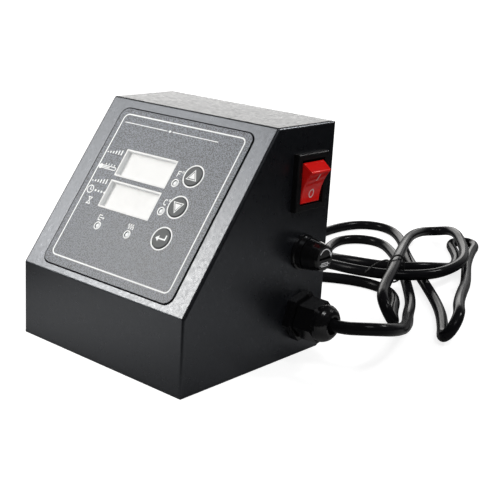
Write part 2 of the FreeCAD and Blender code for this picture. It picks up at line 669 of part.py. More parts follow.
def make_film():
    body = new_body("KeypadFilm")
    sketch = new_sketch(body, "film_outline", "XY_Plane")
    rectangle(sketch, FILM_U, FILM_W, FILM_SIDE, FILM_SIDE)
    sheet_pad = pad(body, sketch, "film_sheet", FILM_THICK)

    def corner(ends):
        return abs(ends[0].z - ends[-1].z) > float(FILM_THICK) / 2

    fillet(body, sheet_pad, "film_corners", edges_where(sheet_pad.Shape, corner), FILM_CORNER)
    sketch = new_sketch(body, "film_openings", "XY_Plane", Placement(spot(0, 0, FILM_THICK), Rotation()))
    keypad_openings(sketch, ZERO)
    pocket(body, sketch, "film_openings_cut", FILM_THICK * 2)
    keep(body, "keypad_film", SLOPE)


KEY_NAMES = ("key_up", "key_down", "key_set")


def key_frame(row):
    return local(SLOPE, KEY_U, KEY_TOP_W - KEY_PITCH * row, 0)


def make_keys():
    """Three round caps with a retaining collar and a stem, and the tact switches behind."""
    collar_top = -(GAUGE + KEY_TRAVEL * 1.5)
    collar_foot = collar_top - KEY_TRAVEL * 4
    tact_top = TACT_TALL - BOARD_DEEP
    stem_foot = tact_top - (TACT_WELL_DEEP - KEY_TRAVEL * 2)
    cap_top = FILM_THICK + KEY_PROUD
    for row, label in enumerate(KEY_NAMES):
        cap = turned(label + "_body", [
            (ZERO, stem_foot), (KEY_STEM_R, stem_foot), (KEY_STEM_R, collar_foot),
            (KEY_COLLAR_R, collar_foot), (KEY_COLLAR_R, collar_top), (KEY_R, collar_top),
            (KEY_R, cap_top - KEY_TRAVEL), (KEY_R - KEY_TRAVEL, cap_top), (ZERO, cap_top)], key_frame(row))
        keep(cap, label)
        frame = key_frame(row)
        block = box(f"tact_block_{row}", TACT_SIDE, TACT_SIDE, TACT_TALL, frame, 0, 0, -BOARD_DEEP)
        well = cylinder(f"tact_well_{row}", TACT_WELL_R, TACT_WELL_DEEP * 2, frame, 0, 0,
                        tact_top - TACT_WELL_DEEP)
        keep(cut(f"tact_{row}", block, [well]), label.replace("key", "tact"))


def make_displays():
    """Display modules, each with a light shield that lines its window up to the film."""
    face = DISPLAY_DEEP - BOARD_DEEP
    rise = FILM_THICK - face
    wide = WINDOW_WIDE - 2 * PANEL_PLAY
    tall = WINDOW_TALL - 2 * PANEL_PLAY
    for row, label in enumerate(("display_upper", "display_lower")):
        height = WINDOW_UPPER_W - WINDOW_PITCH * row
        block = box(label + "_block", DISPLAY_WIDE, DISPLAY_TALL, DISPLAY_DEEP, SLOPE,
                    WINDOW_U, height, -BOARD_DEEP)
        blank = box(label + "_blank", wide, tall, rise, SLOPE, WINDOW_U, height, face)
        opening = box(label + "_opening", wide - 2 * SHIELD_WALL, tall - 2 * SHIELD_WALL, rise * 2, SLOPE,
                      WINDOW_U, height, face)
        keep(joined(label + "_module", [block, cut(label + "_shield", blank, [opening])]), label)


def make_lamps():
    """Round lamps: a rim on the board, a barrel and a low dome under the film."""
    for label, (across, up) in LAMPS.items():
        rim = LED_R * 1.15
        low = -BOARD_DEEP
        lamp = turned(label + "_body", [
            (ZERO, low), (rim, low), (rim, low + BOARD_THICK), (LED_R, low + BOARD_THICK),
            (LED_R, ZERO), (LED_R * 0.8, FILM_THICK * 0.7), (LED_R * 0.4, FILM_THICK * 0.95),
            (ZERO, FILM_THICK)], local(SLOPE, across, up, 0))
        keep(lamp, label)


def make_display_board():
    low = -(BOARD_DEEP + BOARD_THICK)
    plate = box("display_plate", BOARD_WIDE, BOARD_TALL, BOARD_THICK, SLOPE, FILM_U, FILM_W, low)
    holes = [cylinder(f"display_hole_{n}", SCREW_R, BOARD_THICK * 3, SLOPE, x, y, low - BOARD_THICK)
             for n, (x, y) in enumerate(display_post_places())]
    keep(cut("display_board", plate, holes), "display_board")
    chip = box("chip_block", TACT_SIDE * 2, TACT_SIDE * 2, BOARD_THICK, SLOPE,
               WINDOW_U, WINDOW_UPPER_W, low - BOARD_THICK)
    keep(chip, "controller_chip")
    buzzer = cylinder("buzzer_can", TACT_SIDE, TACT_SIDE, SLOPE, KEY_U, KEY_TOP_W, low - TACT_SIDE)
    sound_hole = cylinder("buzzer_hole", SCREW_R, TACT_SIDE, SLOPE, KEY_U, KEY_TOP_W, low - TACT_SIDE * 1.5)
    keep(cut("buzzer", buzzer, [sound_hole]), "buzzer")


def post(name, tall, frame, x, y, z):
    """Threaded stand-off post."""
    return ring(name, POST_R, SCREW_R, tall, frame, x, y, z)


def make_posts():
    """Posts that carry both boards, and the screws that hold the boards to them."""
    tall = BOARD_DEEP - GAUGE
    posts = [post(f"display_post_{n}", tall, SLOPE, x, y, -BOARD_DEEP)
             for n, (x, y) in enumerate(display_post_places())]
    keep(joined("display_posts", posts), "display_posts")
    tall = MAIN_BOARD_LIFT - BASE_GAUGE
    posts = [post(f"board_post_{n}", tall, WORLD, x, y, BASE_GAUGE)
             for n, (x, y) in enumerate(board_post_places())]
    keep(joined("board_posts", posts), "board_posts")
    behind = SLOPE.multiply(Placement(spot(0, 0, -(BOARD_DEEP + BOARD_THICK)), Rotation(Vector(1, 0, 0), 180)))
    screws = [pan_screw(f"display_screw_{n}", behind, x, -y)
              for n, (x, y) in enumerate(display_post_places())]
    above = Placement(spot(0, 0, MAIN_BOARD_LIFT + BOARD_THICK), Rotation())
    screws += [pan_screw(f"board_screw_{n}", above, x, y) for n, (x, y) in enumerate(board_post_places())]
    keep(joined("board_screws", screws), "board_screws")


# ---------------------------------------------------------------- rocker switch

def make_switch():
    frame = right_side(SWITCH_Z)
    body = new_body("SwitchBody")
    sketch = new_sketch(body, "bezel_outline", "XY_Plane")
    rectangle(sketch, ZERO, ZERO, BEZEL_WIDE, BEZEL_TALL)
    bezel = pad(body, sketch, "bezel", BEZEL_THICK)

    def front_rim(ends):
        return all(abs(end.z - float(BEZEL_THICK)) < 1e-6 for end in ends)

    fillet(body, bezel, "bezel_rim", edges_where(bezel.Shape, front_rim), BEZEL_RIM)
    sketch = new_sketch(body, "switch_outline", "XY_Plane")
    rectangle(sketch, ZERO, ZERO, CUTOUT_WIDE - 2 * PANEL_PLAY, CUTOUT_TALL - 2 * PANEL_PLAY)
    pad(body, sketch, "switch_block", SWITCH_DEEP, back=True)
    sketch = new_sketch(body, "cavity", "XY_Plane", Placement(spot(0, 0, BEZEL_THICK), Rotation()))
    rectangle(sketch, ZERO, ZERO, CAVITY_WIDE, CAVITY_TALL)
    pocket(body, sketch, "cavity_cut", BEZEL_THICK + CAVITY_DEEP)
    sketch = new_sketch(body, "pivot_hole", "YZ_Plane")
    circle(sketch, ZERO, -PIVOT_DEEP, PIN_R)
    pocket(body, sketch, "pivot_hole_cut", CUTOUT_WIDE * 2, "Symmetric")
    keep(body, "switch_body", frame)

    pin_long = CUTOUT_WIDE - 2 * PANEL_PLAY
    pin = doc.addObject("Part::Cylinder", "PivotPin")
    bind(pin, Radius=PIN_R, Height=pin_long)
    across = Placement(spot(-pin_long / 2, 0, -PIVOT_DEEP), Rotation(Vector(0, 1, 0), 90))
    keep(pin, "rocker_pin", frame.multiply(across))

    blades = [box(f"switch_blade_{side}_{end}", TAB_THICK, TAB_WIDE, TAB_LONG, frame,
                  CUTOUT_WIDE / 4 * side, CUTOUT_TALL / 4 * end, -(SWITCH_DEEP + TAB_LONG))
              for side in (-1, 1) for end in (-1, 1)]
    keep(joined("switch_blades", blades), "switch_blades")
    make_rocker(frame)


def make_rocker(frame):
    """Red rocker, modelled level about its pivot and tilted to OFF: its lower end in."""
    body = new_body("Rocker")
    sketch = new_sketch(body, "rocker_side", "YZ_Plane")
    keel = ROCKER_FOOT_HALF * 0.8
    outline(sketch, [(ROCKER_HALF, ROCKER_RISE), (-ROCKER_HALF, ROCKER_RISE),
                     (-ROCKER_FOOT_HALF, ROCKER_FOOT_RISE), (-keel, -ROCKER_KEEL / 2),
                     (-keel / 2, -ROCKER_KEEL), (keel / 2, -ROCKER_KEEL), (keel, -ROCKER_KEEL / 2),
                     (ROCKER_FOOT_HALF, ROCKER_FOOT_RISE)])
    pad(body, sketch, "rocker_block", ROCKER_WIDE, "Symmetric")
    sketch = new_sketch(body, "side_taper", "XZ_Plane")
    for way in (-1, 1):
        foot = ROCKER_WIDE / 2 * way
        ridge = ROCKER_TOP_WIDE / 2 * way
        outline(sketch, [(foot, ROCKER_FOOT_RISE), (ridge, ROCKER_RISE), (ridge, ROCKER_RISE * 1.5),
                         (foot * 1.5, ROCKER_RISE * 1.5), (foot * 1.5, ROCKER_FOOT_RISE)])
    pocket(body, sketch, "side_taper_cut", ROCKER_FOOT_HALF * 3, "Symmetric")
    sketch = new_sketch(body, "dish", "YZ_Plane")
    dish_radius = (ROCKER_HALF * ROCKER_HALF + ROCKER_DISH * ROCKER_DISH) / (ROCKER_DISH * 2)
    circle(sketch, ZERO, ROCKER_RISE - ROCKER_DISH + dish_radius, dish_radius)
    dished = pocket(body, sketch, "dish_cut", ROCKER_WIDE * 2, "Symmetric")
    ridge_height = float(ROCKER_RISE)

    def face_edges(ends):
        return all(abs(end.z - ridge_height) < 1e-4 for end in ends)

    fillet(body, dished, "rocker_edges", edges_where(dished.Shape, face_edges), ROCKER_EDGE)
    sketch = new_sketch(body, "pin_bore", "YZ_Plane")
    circle(sketch, ZERO, ZERO, PIN_R + PIN_PLAY)
    pocket(body, sketch, "pin_bore_cut", ROCKER_WIDE * 2, "Symmetric")
    tilt = Placement(spot(0, 0, -PIVOT_DEEP), Rotation(Vector(1, 0, 0), float(ROCKER_TILT)))
    keep(body, "rocker", frame.multiply(tilt))


# ---------------------------------------------------------------- fuse holder

def make_fuse_holder():
    frame = right_side(FUSE_Z)
    wall = FUSE_MOUTH_R - FUSE_BORE_R
    tube_r = FUSE_BORE_R + wall
    tube_end = FUSE_LONG + wall
    collar = FUSE_MOUTH_R
    holder = turned("FuseBody", [
        (ZERO, -tube_end - SEAM), (tube_r, -tube_end - SEAM), (tube_r, -(FUSE_LONG - collar)),
        (FUSE_THREAD_R, -(FUSE_LONG - collar)), (FUSE_THREAD_R, ZERO), (FUSE_FLANGE_R, ZERO),
        (FUSE_FLANGE_R, SCREW_R), (FUSE_BOSS_R, SCREW_R + SEAM), (FUSE_BOSS_R, collar - SEAM),
        (FUSE_MOUTH_R, collar - SEAM), (FUSE_MOUTH_R, -collar - 1), (FUSE_BORE_R, -collar - 1),
        (FUSE_BORE_R, -FUSE_LONG), (ZERO, -FUSE_LONG)], frame)
    keep(holder, "fuse_body")
    nut_tall = SCREW_R * 2.6
    blank = hexagon("fuse_nut_blank", FUSE_THREAD_R * 2.6, nut_tall, frame, -(GAUGE + nut_tall))
    bore = cylinder("fuse_nut_bore", FUSE_THREAD_R, nut_tall * 3, frame, 0, 0, -nut_tall * 3)
    keep(cut("fuse_nut", blank, [bore]), "fuse_nut")

    recess_r = FUSE_R + SEAM * 4
    recess_top = collar + CLIP_RISE + SEAM
    cap = turned("FuseCap", [
        (ZERO, recess_top), (recess_r, recess_top), (recess_r, collar), (CAP_R - SEAM, collar),
        (CAP_R, collar + SEAM), (CAP_WAIST_R, (collar + FUSE_CAP_END) / 2),
        (CAP_END_R + CAP_ROUND / 2, FUSE_CAP_END - CAP_ROUND), (CAP_END_R, FUSE_CAP_END), (ZERO, FUSE_CAP_END)],
        Placement())
    slot = box("cap_slot", FUSE_THREAD_R * 1.4, SCREW_R, SCREW_R, WORLD, 0, 0, FUSE_CAP_END - SCREW_R * 0.8)
    keep(cut("fuse_cap_slotted", cap, [slot]), "fuse_cap", frame)

    cap_long = FUSE_LONG / 4
    rear = -(FUSE_LONG - SEAM)
    ends = [cylinder("fuse_rear_end", FUSE_R, cap_long, frame, 0, 0, rear),
            cylinder("fuse_front_end", FUSE_R, cap_long, frame, 0, 0, rear + FUSE_LONG - cap_long)]
    keep(joined("fuse_ends", ends), "fuse_ends")
    clip_r = recess_r - SEAM
    keep(ring("fuse_clip_sleeve", clip_r, FUSE_R, collar * 2 + CLIP_RISE, frame, 0, 0, -collar), "fuse_clip")
    glass = cylinder("fuse_tube", FUSE_R - SEAM / 2, FUSE_LONG - cap_long * 2, frame, 0, 0, rear + cap_long)
    keep(glass, "fuse_glass")
    tag_thick = SEAM * 2.5
    tags = [box("fuse_end_tag", FUSE_R * 2, tag_thick, FUSE_LONG / 2.5, frame, 0, 0,
                -(tube_end + SEAM + FUSE_LONG / 2.5)),
            box("fuse_side_tag", tag_thick, FUSE_R * 2, FUSE_LONG / 2.2, frame,
                tube_r + tag_thick / 2, 0, -(tube_end + FUSE_R))]
    keep(joined("fuse_tags", tags), "fuse_tags")


# ---------------------------------------------------------------- cable gland

def make_gland():
    frame = right_side(GLAND_Z)
    spigot_r = GLAND_THREAD_R - SEAM
    reach = GLAND_SHANK * 4
    bore = cylinder("gland_bore", GLAND_BORE_R, reach, frame, 0, 0, -reach / 2)
    blank = joined("gland_blank", [
        hexagon("gland_hex", GLAND_FLATS, GLAND_HEX_TALL, frame, 0, GLAND_TURN),
        cylinder("gland_thread", GLAND_THREAD_R, GLAND_SHANK, frame, 0, 0, -GLAND_SHANK),
        cylinder("gland_spigot", spigot_r, GLAND_SPIGOT, frame)])
    keep(cut("gland_base", blank, [bore]), "gland_body")

    dome_r = GLAND_NUT_FLATS / 2
    tall = GLAND_DOME_END - GLAND_NUT_TOP
    dome = turned("gland_dome", [
        (ZERO, GLAND_NUT_TOP), (dome_r, GLAND_NUT_TOP), (dome_r, GLAND_NUT_TOP + tall * 0.3),
        (dome_r * 0.95, GLAND_NUT_TOP + tall * 0.5), (dome_r * 0.87, GLAND_NUT_TOP + tall * 0.7),
        (dome_r * 0.74, GLAND_NUT_TOP + tall * 0.88), (dome_r * 0.6, GLAND_DOME_END), (ZERO, GLAND_DOME_END)],
        frame)
    flats_long = GLAND_NUT_TOP - GLAND_NUT_LOW
    nut_hex = hexagon("gland_nut_hex", GLAND_NUT_FLATS, flats_long, frame, GLAND_NUT_LOW, GLAND_TURN)
    mouth = cylinder("gland_nut_mouth", GLAND_BORE_R, reach, frame)
    thread_long = GLAND_SPIGOT + SEAM - GLAND_NUT_LOW
    thread = cylinder("gland_nut_thread", spigot_r, thread_long, frame, 0, 0, GLAND_NUT_LOW)
    keep(cut("gland_clamp", joined("gland_clamp_blank", [nut_hex, dome]), [mouth, thread]), "gland_nut")

    seal_long = GLAND_MOUTH - SEAL_LOW
    keep(ring("gland_seal_ring", GLAND_BORE_R, LEAD_R, seal_long, frame, 0, 0, SEAL_LOW), "gland_seal")
    blank = hexagon("gland_lock_hex", GLAND_FLATS, LOCKNUT_TALL, frame, -(GAUGE + LOCKNUT_TALL))
    bore = cylinder("gland_lock_bore", GLAND_THREAD_R, LOCKNUT_TALL * 4, frame, 0, 0, -LOCKNUT_TALL * 3)
    keep(cut("gland_lock", blank, [bore]), "gland_locknut")
    keep(cylinder("lead_tail", LEAD_R, GLAND_MOUTH + TAIL_DEEP, frame, 0, 0, -TAIL_DEEP), "lead_tail")


# ---------------------------------------------------------------- output socket

def socket_pin_places():
    quarter = math.pi / 2
    return [(SOCKET_PIN_CIRCLE * math.cos(quarter * n), SOCKET_PIN_CIRCLE * math.sin(quarter * n))
            for n in range(4)]


def make_socket():
    frame = rear_side(SOCKET_X, SOCKET_Z)
    rim_r = SOCKET_R + SOCKET_RIM
    shell = turned("SocketShell", [
        (SOCKET_BORE_R, -SOCKET_BACK), (SOCKET_R, -SOCKET_BACK), (SOCKET_R, ZERO), (rim_r, ZERO),
        (rim_r, SOCKET_RIM), (SOCKET_R, SOCKET_RIM), (SOCKET_R, SOCKET_FRONT), (SOCKET_BORE_R, SOCKET_FRONT)],
        frame)
    keep(shell, "socket_shell")
    holes = [cylinder(f"socket_hole_{n}", SOCKET_PIN_R, SOCKET_PIN_LONG, frame, x, y, -SOCKET_PIN_LONG * 0.8)
             for n, (x, y) in enumerate(socket_pin_places())]
    disc = cylinder("socket_disc", SOCKET_BORE_R, SOCKET_BACK - SEAM * 3, frame, 0, 0, -SOCKET_BACK)
    keep(cut("socket_core", disc, holes), "socket_insert")
    tail_end = -(SOCKET_BACK + SOCKET_PIN_TAIL)
    pins = [cylinder(f"socket_pin_{n}", SOCKET_PIN_R, SOCKET_PIN_LONG, frame, x, y, tail_end)
            for n, (x, y) in enumerate(socket_pin_places())]
    keep(joined("socket_pins_all", pins), "socket_pins")
    low = -(BASE_GAUGE + SOCKET_NUT_TALL)
    blank = hexagon("socket_nut_blank", SOCKET_R * 2.4, SOCKET_NUT_TALL, frame, low)
    bore = cylinder("socket_nut_bore", SOCKET_R, SOCKET_NUT_TALL * 4, frame, 0, 0, -SOCKET_NUT_TALL * 3)
    keep(cut("socket_nut_cut", blank, [bore]), "socket_nut")


# ---------------------------------------------------------------- power board

def make_power_board():
    """Board with its transformer, relay, capacitor and terminal block."""
    plate = box("main_plate", MAIN_BOARD_WIDE, MAIN_BOARD_LONG, BOARD_THICK, WORLD,
                MAIN_BOARD_X, MAIN_BOARD_Y, MAIN_BOARD_LIFT)
    holes = [cylinder(f"main_hole_{n}", SCREW_R, BOARD_THICK * 3, WORLD, x, y, MAIN_BOARD_LIFT - BOARD_THICK)
             for n, (x, y) in enumerate(board_post_places())]
    keep(cut("main_board", plate, holes), "power_board")
    top = MAIN_BOARD_LIFT + BOARD_THICK
    make_transformer(top)
    keep(box("relay_block", RELAY_WIDE, RELAY_DEEP, RELAY_TALL, WORLD, RELAY_X, RELAY_Y, top), "relay")
    keep(cylinder("capacitor_can", CAN_R, CAN_TALL, WORLD, CAN_X, CAN_Y, top), "capacitor")
    block = box("terminal_housing", TERMINAL_WIDE, TERMINAL_DEEP, TERMINAL_TALL, WORLD,
                TERMINAL_X, TERMINAL_Y, top)
    first = TERMINAL_X - TERMINAL_PITCH * (TERMINAL_COUNT - 1) / 2
    low = top + TERMINAL_TALL - WELL_DEEP
    wells = [cylinder(f"terminal_well_{n}", WELL_R, WELL_DEEP * 2, WORLD,
                      first + TERMINAL_PITCH * n, TERMINAL_Y, low) for n in range(TERMINAL_COUNT)]
    keep(cut("terminal_cut", block, wells), "terminal_block")


def make_transformer(top):
    leg = CORE_LEG
    yoke = box("core_block", leg * 6, leg * 2, leg * 5, WORLD, CORE_X, CORE_Y, top)
    windows = [box(f"core_window_{way}", leg, leg * 3, leg * 3, WORLD,
                   CORE_X + leg * 1.5 * way, CORE_Y, top + leg) for way in (-1, 1)]
    keep(cut("core_cut", yoke, windows), "transformer_core")
    coil = box("coil_block", leg * 3.9, leg * 4, leg * 2.9, WORLD, CORE_X, CORE_Y, top + leg * 1.05)
    middle = box("coil_leg", leg * 2, leg * 2, leg * 4, WORLD, CORE_X, CORE_Y, top + leg / 2)
    keep(cut("coil_cut", coil, [middle]), "transformer_coil")


def make_earth_stud():
    base = Placement(spot(EARTH_X, EARTH_Y, 0), Rotation())
    stud = cylinder("earth_rod", STUD_R, STUD_TALL, base, 0, 0, BASE_GAUGE)
    nut = hexagon("earth_hex", STUD_FLATS, STUD_NUT_TALL, base, BASE_GAUGE + WASHER_THICK)
    washer = cylinder("earth_washer", WASHER_R, WASHER_THICK, base, 0, 0, BASE_GAUGE)
    keep(joined("earth_fixing", [stud, nut, washer]), "earth_stud")


# ---------------------------------------------------------------- wires and lead

ARC_SHARE = 0.45


def rounded_path(points, label, report=False):
    """Straight runs joined by tangent arcs, each as large as its two runs allow."""
    edges = []
    here = points[0]
    radii = []
    for number in range(1, len(points) - 1):
        corner = points[number]
        back = points[number - 1] - corner
        ahead = points[number + 1] - corner
        half_turn = (math.pi - back.getAngle(ahead)) / 2
        reach = ARC_SHARE * min(back.Length, ahead.Length)
        radius = reach / math.tan(half_turn)
        back.normalize()
        ahead.normalize()
        start = corner + back * reach
        finish = corner + ahead * reach
        inward = (back + ahead).normalize()
        middle = corner + inward * (radius / math.cos(half_turn) - radius)
        edges.append(Part.LineSegment(here, start).toShape())
        edges.append(Part.Arc(start, middle, finish).toShape())
        here = finish
        radii.append(f"{radius:.0f}")
    edges.append(Part.LineSegment(here, points[-1]).toShape())
    if report:
        print(label, "radii", " ".join(radii))
    return Part.Wire(edges)


def tube(label, points, radius, report=False):
    """A round tube along a rounded path, its volume checked against section times length."""
    path = rounded_path(points, label, report)
    section = Part.Wire(Part.Circle(points[0], points[1] - points[0], radius).toShape())
    solid = path.makePipeShell([section], True, False)
    wanted = math.pi * radius ** 2 * path.Length
    if report:
        print(label, f"length {path.Length:.0f} volume {solid.Volume:.0f} wanted {wanted:.0f}")
    if abs(solid.Volume / wanted - 1) > 0.03:
        raise RuntimeError(f"{label} volume is {solid.Volume / wanted:.3f} of what it should be")
    return solid


def shape_node(label, shape):
    feature = doc.addObject("Part::Feature", label)
    feature.Shape = shape
    keep(feature, label, Placement())


LEAD_ROUTE = [
    (82.2, 34.2, 23.6), (92.2, 34.2, 24.4), (101, 36, 26.1), (108, 43.5, 25.9), (109.5, 55, 23.2),
    (105.5, 71, 18.8), (96.5, 89.5, 13.3), (85.5, 109.5, 7.9), (73.5, 129, 4), (62.5, 150, 3.6),
    (45.5, 173.5, 3.6), (13, 215, 3.6), (-12, 240.5, 3.6), (-30.5, 254.5, 3.6), (-47, 251, 3.6),
    (-55, 235.5, 3.6), (-50.5, 216, 3.6), (-40.5, 197.5, 3.6), (-26, 183, 6.5), (-8, 177, 10.3),
    (10.5, 178, 11.8), (26.5, 185, 11.8), (37, 200.5, 11.8), (41.5, 220, 8.5), (39.5, 240.5, 3.6),
    (31.5, 261, 3.6), (19.5, 278, 3.6), (7, 292.5, 3.6), (4, 305, 3.6), (12, 312.5, 3.6), (21.5, 306, 3.6),
    (28.5, 285.5, 3.6), (42.5, 255, 3.6), (58, 227, 5.5), (73, 199, 8.8), (87, 168.5, 13.5),
    (101.5, 138.5, 17), (112.5, 121, 17.6), (114, 111, 10.6), (108, 111.5, 3.6), (99.5, 127, 3.6),
    (80.5, 155.5, 3.6), (45, 194.5, 3.6), (3, 237.5, 3.6), (-30, 280.5, 3.6), (-53.5, 296, 3.6),
    (-72, 288.5, 3.6), (-78.5, 265, 3.6), (-75.5, 231.5, 3.6), (-61.5, 198.5, 3.6), (-39, 171.5, 3.6),
    (-15, 162, 9.5), (14.5, 158.5, 11.8), (38, 170.5, 11.8), (52, 191.5, 11.8), (53.5, 215, 11.8),
    (48.5, 238, 11.8), (38, 258.5, 11.8), (25, 277.5, 11.8), (11.5, 294.5, 12.6), (-2, 306.5, 11),
    (-14, 307.5, 7.5), (-19, 294, 8.5), (-12, 267, 12), (3.5, 234, 16.5), (25, 191.5, 20),
    (42.5, 157.5, 20), (57, 124.5, 18.4), (67.5, 108, 17.4), (74.5, 105, 11), (75.5, 111, 3.6),
    (65, 124.5, 4.2), (55, 143.5, 4.4), (41, 159, 3.6), (23.5, 164, 3.6), (3.5, 158, 3.6),
    (-18, 142.5, 3.6), (-32.5, 128.5, 7.5), (-43.5, 121, 12), (-55, 113.5, 12),
]
TIE_R = 0.6
TIE_CENTRE = (35.6, 171.4, 15.9)
TIE_ACROSS = (0.21, 0.98, 0)
TIE_HALF_WIDE = 7.6
TIE_HALF_TALL = 9.2
TIE_TAIL = [(34, 163.8, 17.8), (31.9, 169.2, 22), (25.1, 165.7, 19), (22.1, 155.8, 13)]


def make_lead():
    route = [spot(*point) for point in LEAD_ROUTE]
    shape_node("power_lead", tube("power_lead", route, float(LEAD_R), report=True))


def make_tie():
    """Wire tie: a loop round the two strands at the crossing, and its twisted ends."""
    middle = spot(*TIE_CENTRE)
    across = spot(*TIE_ACROSS).normalize() * TIE_HALF_WIDE
    rise = spot(0, 0, TIE_HALF_TALL - TIE_HALF_WIDE)
    top = spot(0, 0, TIE_HALF_TALL)
    left = middle - across
    right = middle + across
    loop = Part.Wire([
        Part.LineSegment(left - rise, left + rise).toShape(),
        Part.Arc(left + rise, middle + top, right + rise).toShape(),
        Part.LineSegment(right + rise, right - rise).toShape(),
        Part.Arc(right - rise, middle - top, left - rise).toShape()])
    section = Part.Wire(Part.Circle(left - rise, Vector(0, 0, 1), TIE_R).toShape())
    band = loop.makePipeShell([section], True, False)
    tail = tube("tie_tail", [spot(*point) for point in TIE_TAIL], TIE_R)
    shape_node("lead_tie", band.fuse(tail))


def make_wiring():
    """Conductors inside the case, each a tube on a rounded path."""
    block_back = TERMINAL_Y + TERMINAL_DEEP / 2 + WIRE_R
    height = GLAND_Z
    mains = {
        "live_in": [(42.4, 35.8, height + 1), (32, 37.1, 28), (25, 39.6, 46), (23, 39.7, 76), (25, 39.7, 89),
                    (29.8, 39.7, 91)],
        "neutral_in": [(42.4, 32.6, height + 1), (32, 30.6, 29), (25, 28.9, 47), (23, 28.7, 76), (25, 28.7, 89),
                       (29.8, 28.7, 91)],
        "earth": [(42.4, 34.2, height - 1.9), (34, 32, 18), (33, 24, 10), (38, 16, 5.5), (43, 12.7, 4)],
        "live_to_fuse": [(29.8, 39.7, 105), (18, 39.1, 103), (14, 37.6, 90), (14, 35.1, 68), (20, 34.2, 59.5),
                         (29.3, 34.2, 59)],
        "live_to_board": [(37.6, 41.5, 59), (31, 42, 56), (29, 44, 42), (18, 42, 26), (6, 27, 21),
                          (2, block_back, 17.8)],
        "neutral_to_board": [(29.8, 28.7, 105), (17, 28.1, 103), (8, 26, 86), (0, 24, 52), (-6, 22.5, 26),
                             (-6, block_back, 17.8)],
    }
    shapes = [tube(name, [spot(*point) for point in points], float(WIRE_R)) for name, points in mains.items()]
    shape_node("mains_wiring", Part.makeCompound(shapes))
    pin_back = HALF_DEEP - SOCKET_BACK - SOCKET_PIN_TAIL - SEAM
    right = SOCKET_X + SOCKET_PIN_CIRCLE
    left = SOCKET_X - SOCKET_PIN_CIRCLE
    output = [
        [(-14, block_back, 17.8), (-14.5, 24, 19), (-21, 30, 28), (right, 33, SOCKET_Z - 0.5),
         (right, pin_back, SOCKET_Z)],
        [(-22, block_back, 17.8), (-22.5, 23, 18), (-30, 28, 23), (left, 32, SOCKET_Z - 0.5),
         (left, pin_back, SOCKET_Z)],
    ]
    shapes = [tube("output", [spot(*point) for point in points], float(WIRE_R)) for points in output]
    shape_node("output_wiring", Part.makeCompound(shapes))


def make_ribbon():
    """Flat cable from the display board down to the power board."""
    top = MAIN_BOARD_LIFT + BOARD_THICK
    plug_in = SLOPE.multVec(spot(40, 20, -(BOARD_DEEP + BOARD_THICK)))
    inward = SLOPE.Rotation.multVec(Vector(0, 0, -1))
    path = rounded_path([plug_in, plug_in + inward * 7, spot(plug_in.x, -27, 34), spot(plug_in.x, -29, 22),
                         spot(plug_in.x, -33, top + SEAM)], "ribbon")
    half = spot(RIBBON_WIDE / 2, 0, 0)
    thick = SLOPE.Rotation.multVec(spot(0, RIBBON_THICK / 2, 0))
    corners = [plug_in - half - thick, plug_in + half - thick, plug_in + half + thick, plug_in - half + thick]
    section = Part.makePolygon(corners + corners[:1])
    shape_node("ribbon_cable", path.makePipeShell([section], True, False))


def make_plug():
    """Moulded mains plug on the end of the lead, lying on the surface."""
    finish = spot(*LEAD_ROUTE[-1])
    along = (finish - spot(*LEAD_ROUTE[-2])).normalize()
    up = Vector(0, 0, 1)
    frame = Placement(finish, Rotation(up.cross(along), up, along, "ZXY"))
    keep(cone("relief_cone", LEAD_R * 1.3, LEAD_R * 1.8, RELIEF_LONG, frame), "plug_relief")
    body = new_body("PlugBody")
    sketch = new_sketch(body, "plug_outline", "XY_Plane")
    rectangle(sketch, ZERO, ZERO, PLUG_WIDE, PLUG_TALL)
    block = pad(body, sketch, "plug_block", PLUG_LONG)

    def long_edge(ends):
        return abs(ends[0].z - ends[-1].z) > 1

    sides = fillet(body, block, "plug_sides", edges_where(block.Shape, long_edge), LEAD_R * 1.7)
    rear = [f"Edge{n}" for n, edge in enumerate(sides.Shape.Edges, 1) if edge.BoundBox.ZMax < 1e-6]
    fillet(body, sides, "plug_rear", rear, LEAD_R * 0.9)
    keep(body, "plug_body", local(frame, 0, 0, RELIEF_LONG))
    face = RELIEF_LONG + PLUG_LONG
    blades = [box(f"plug_blade_{way}", BLADE_THICK, BLADE_WIDE, BLADE_LONG, frame,
                  BLADE_PITCH / 2 * way, BLADE_UP, face) for way in (-1, 1)]
    keep(joined("plug_blade_pair", blades), "plug_blades")
    keep(cylinder("earth_pin", EARTH_PIN_R, EARTH_PIN_LONG, frame, 0, -EARTH_PIN_DOWN, face), "plug_earth_pin")


# ---------------------------------------------------------------- build and write

def check_and_write():
    doc.recompute()
    for item in doc.Objects:
        if {"Invalid", "Error"} & set(item.State):
            raise RuntimeError(f"{item.Name} failed: {item.State}")
    os.makedirs("parts", exist_ok=True)
    for node in nodes:
        shape = node.Shape
        if shape.isNull() or not shape.isValid() or not shape.Solids:
            raise RuntimeError(f"{node.Label} has no valid solid")
        shape.exportStep(os.path.join("parts", node.Label + ".step"))
    print(len(nodes), "sub-parts written")


make_case()
make_chassis()
make_fasteners()
make_film()
make_keys()
make_displays()
make_lamps()
make_display_board()
make_posts()
make_switch()
make_fuse_holder()
make_gland()
make_socket()
make_power_board()
make_earth_stud()
make_wiring()
make_ribbon()
make_lead()
make_tie()
make_plug()
check_and_write()
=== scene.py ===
"""Looks of the bench controller of a small heat press.

Sets the camera, the floor and light, the lead's round sweep, the finishes and the printed marks.
"""
import math

import bmesh
import bpy
from mathutils import Euler, Matrix, Vector


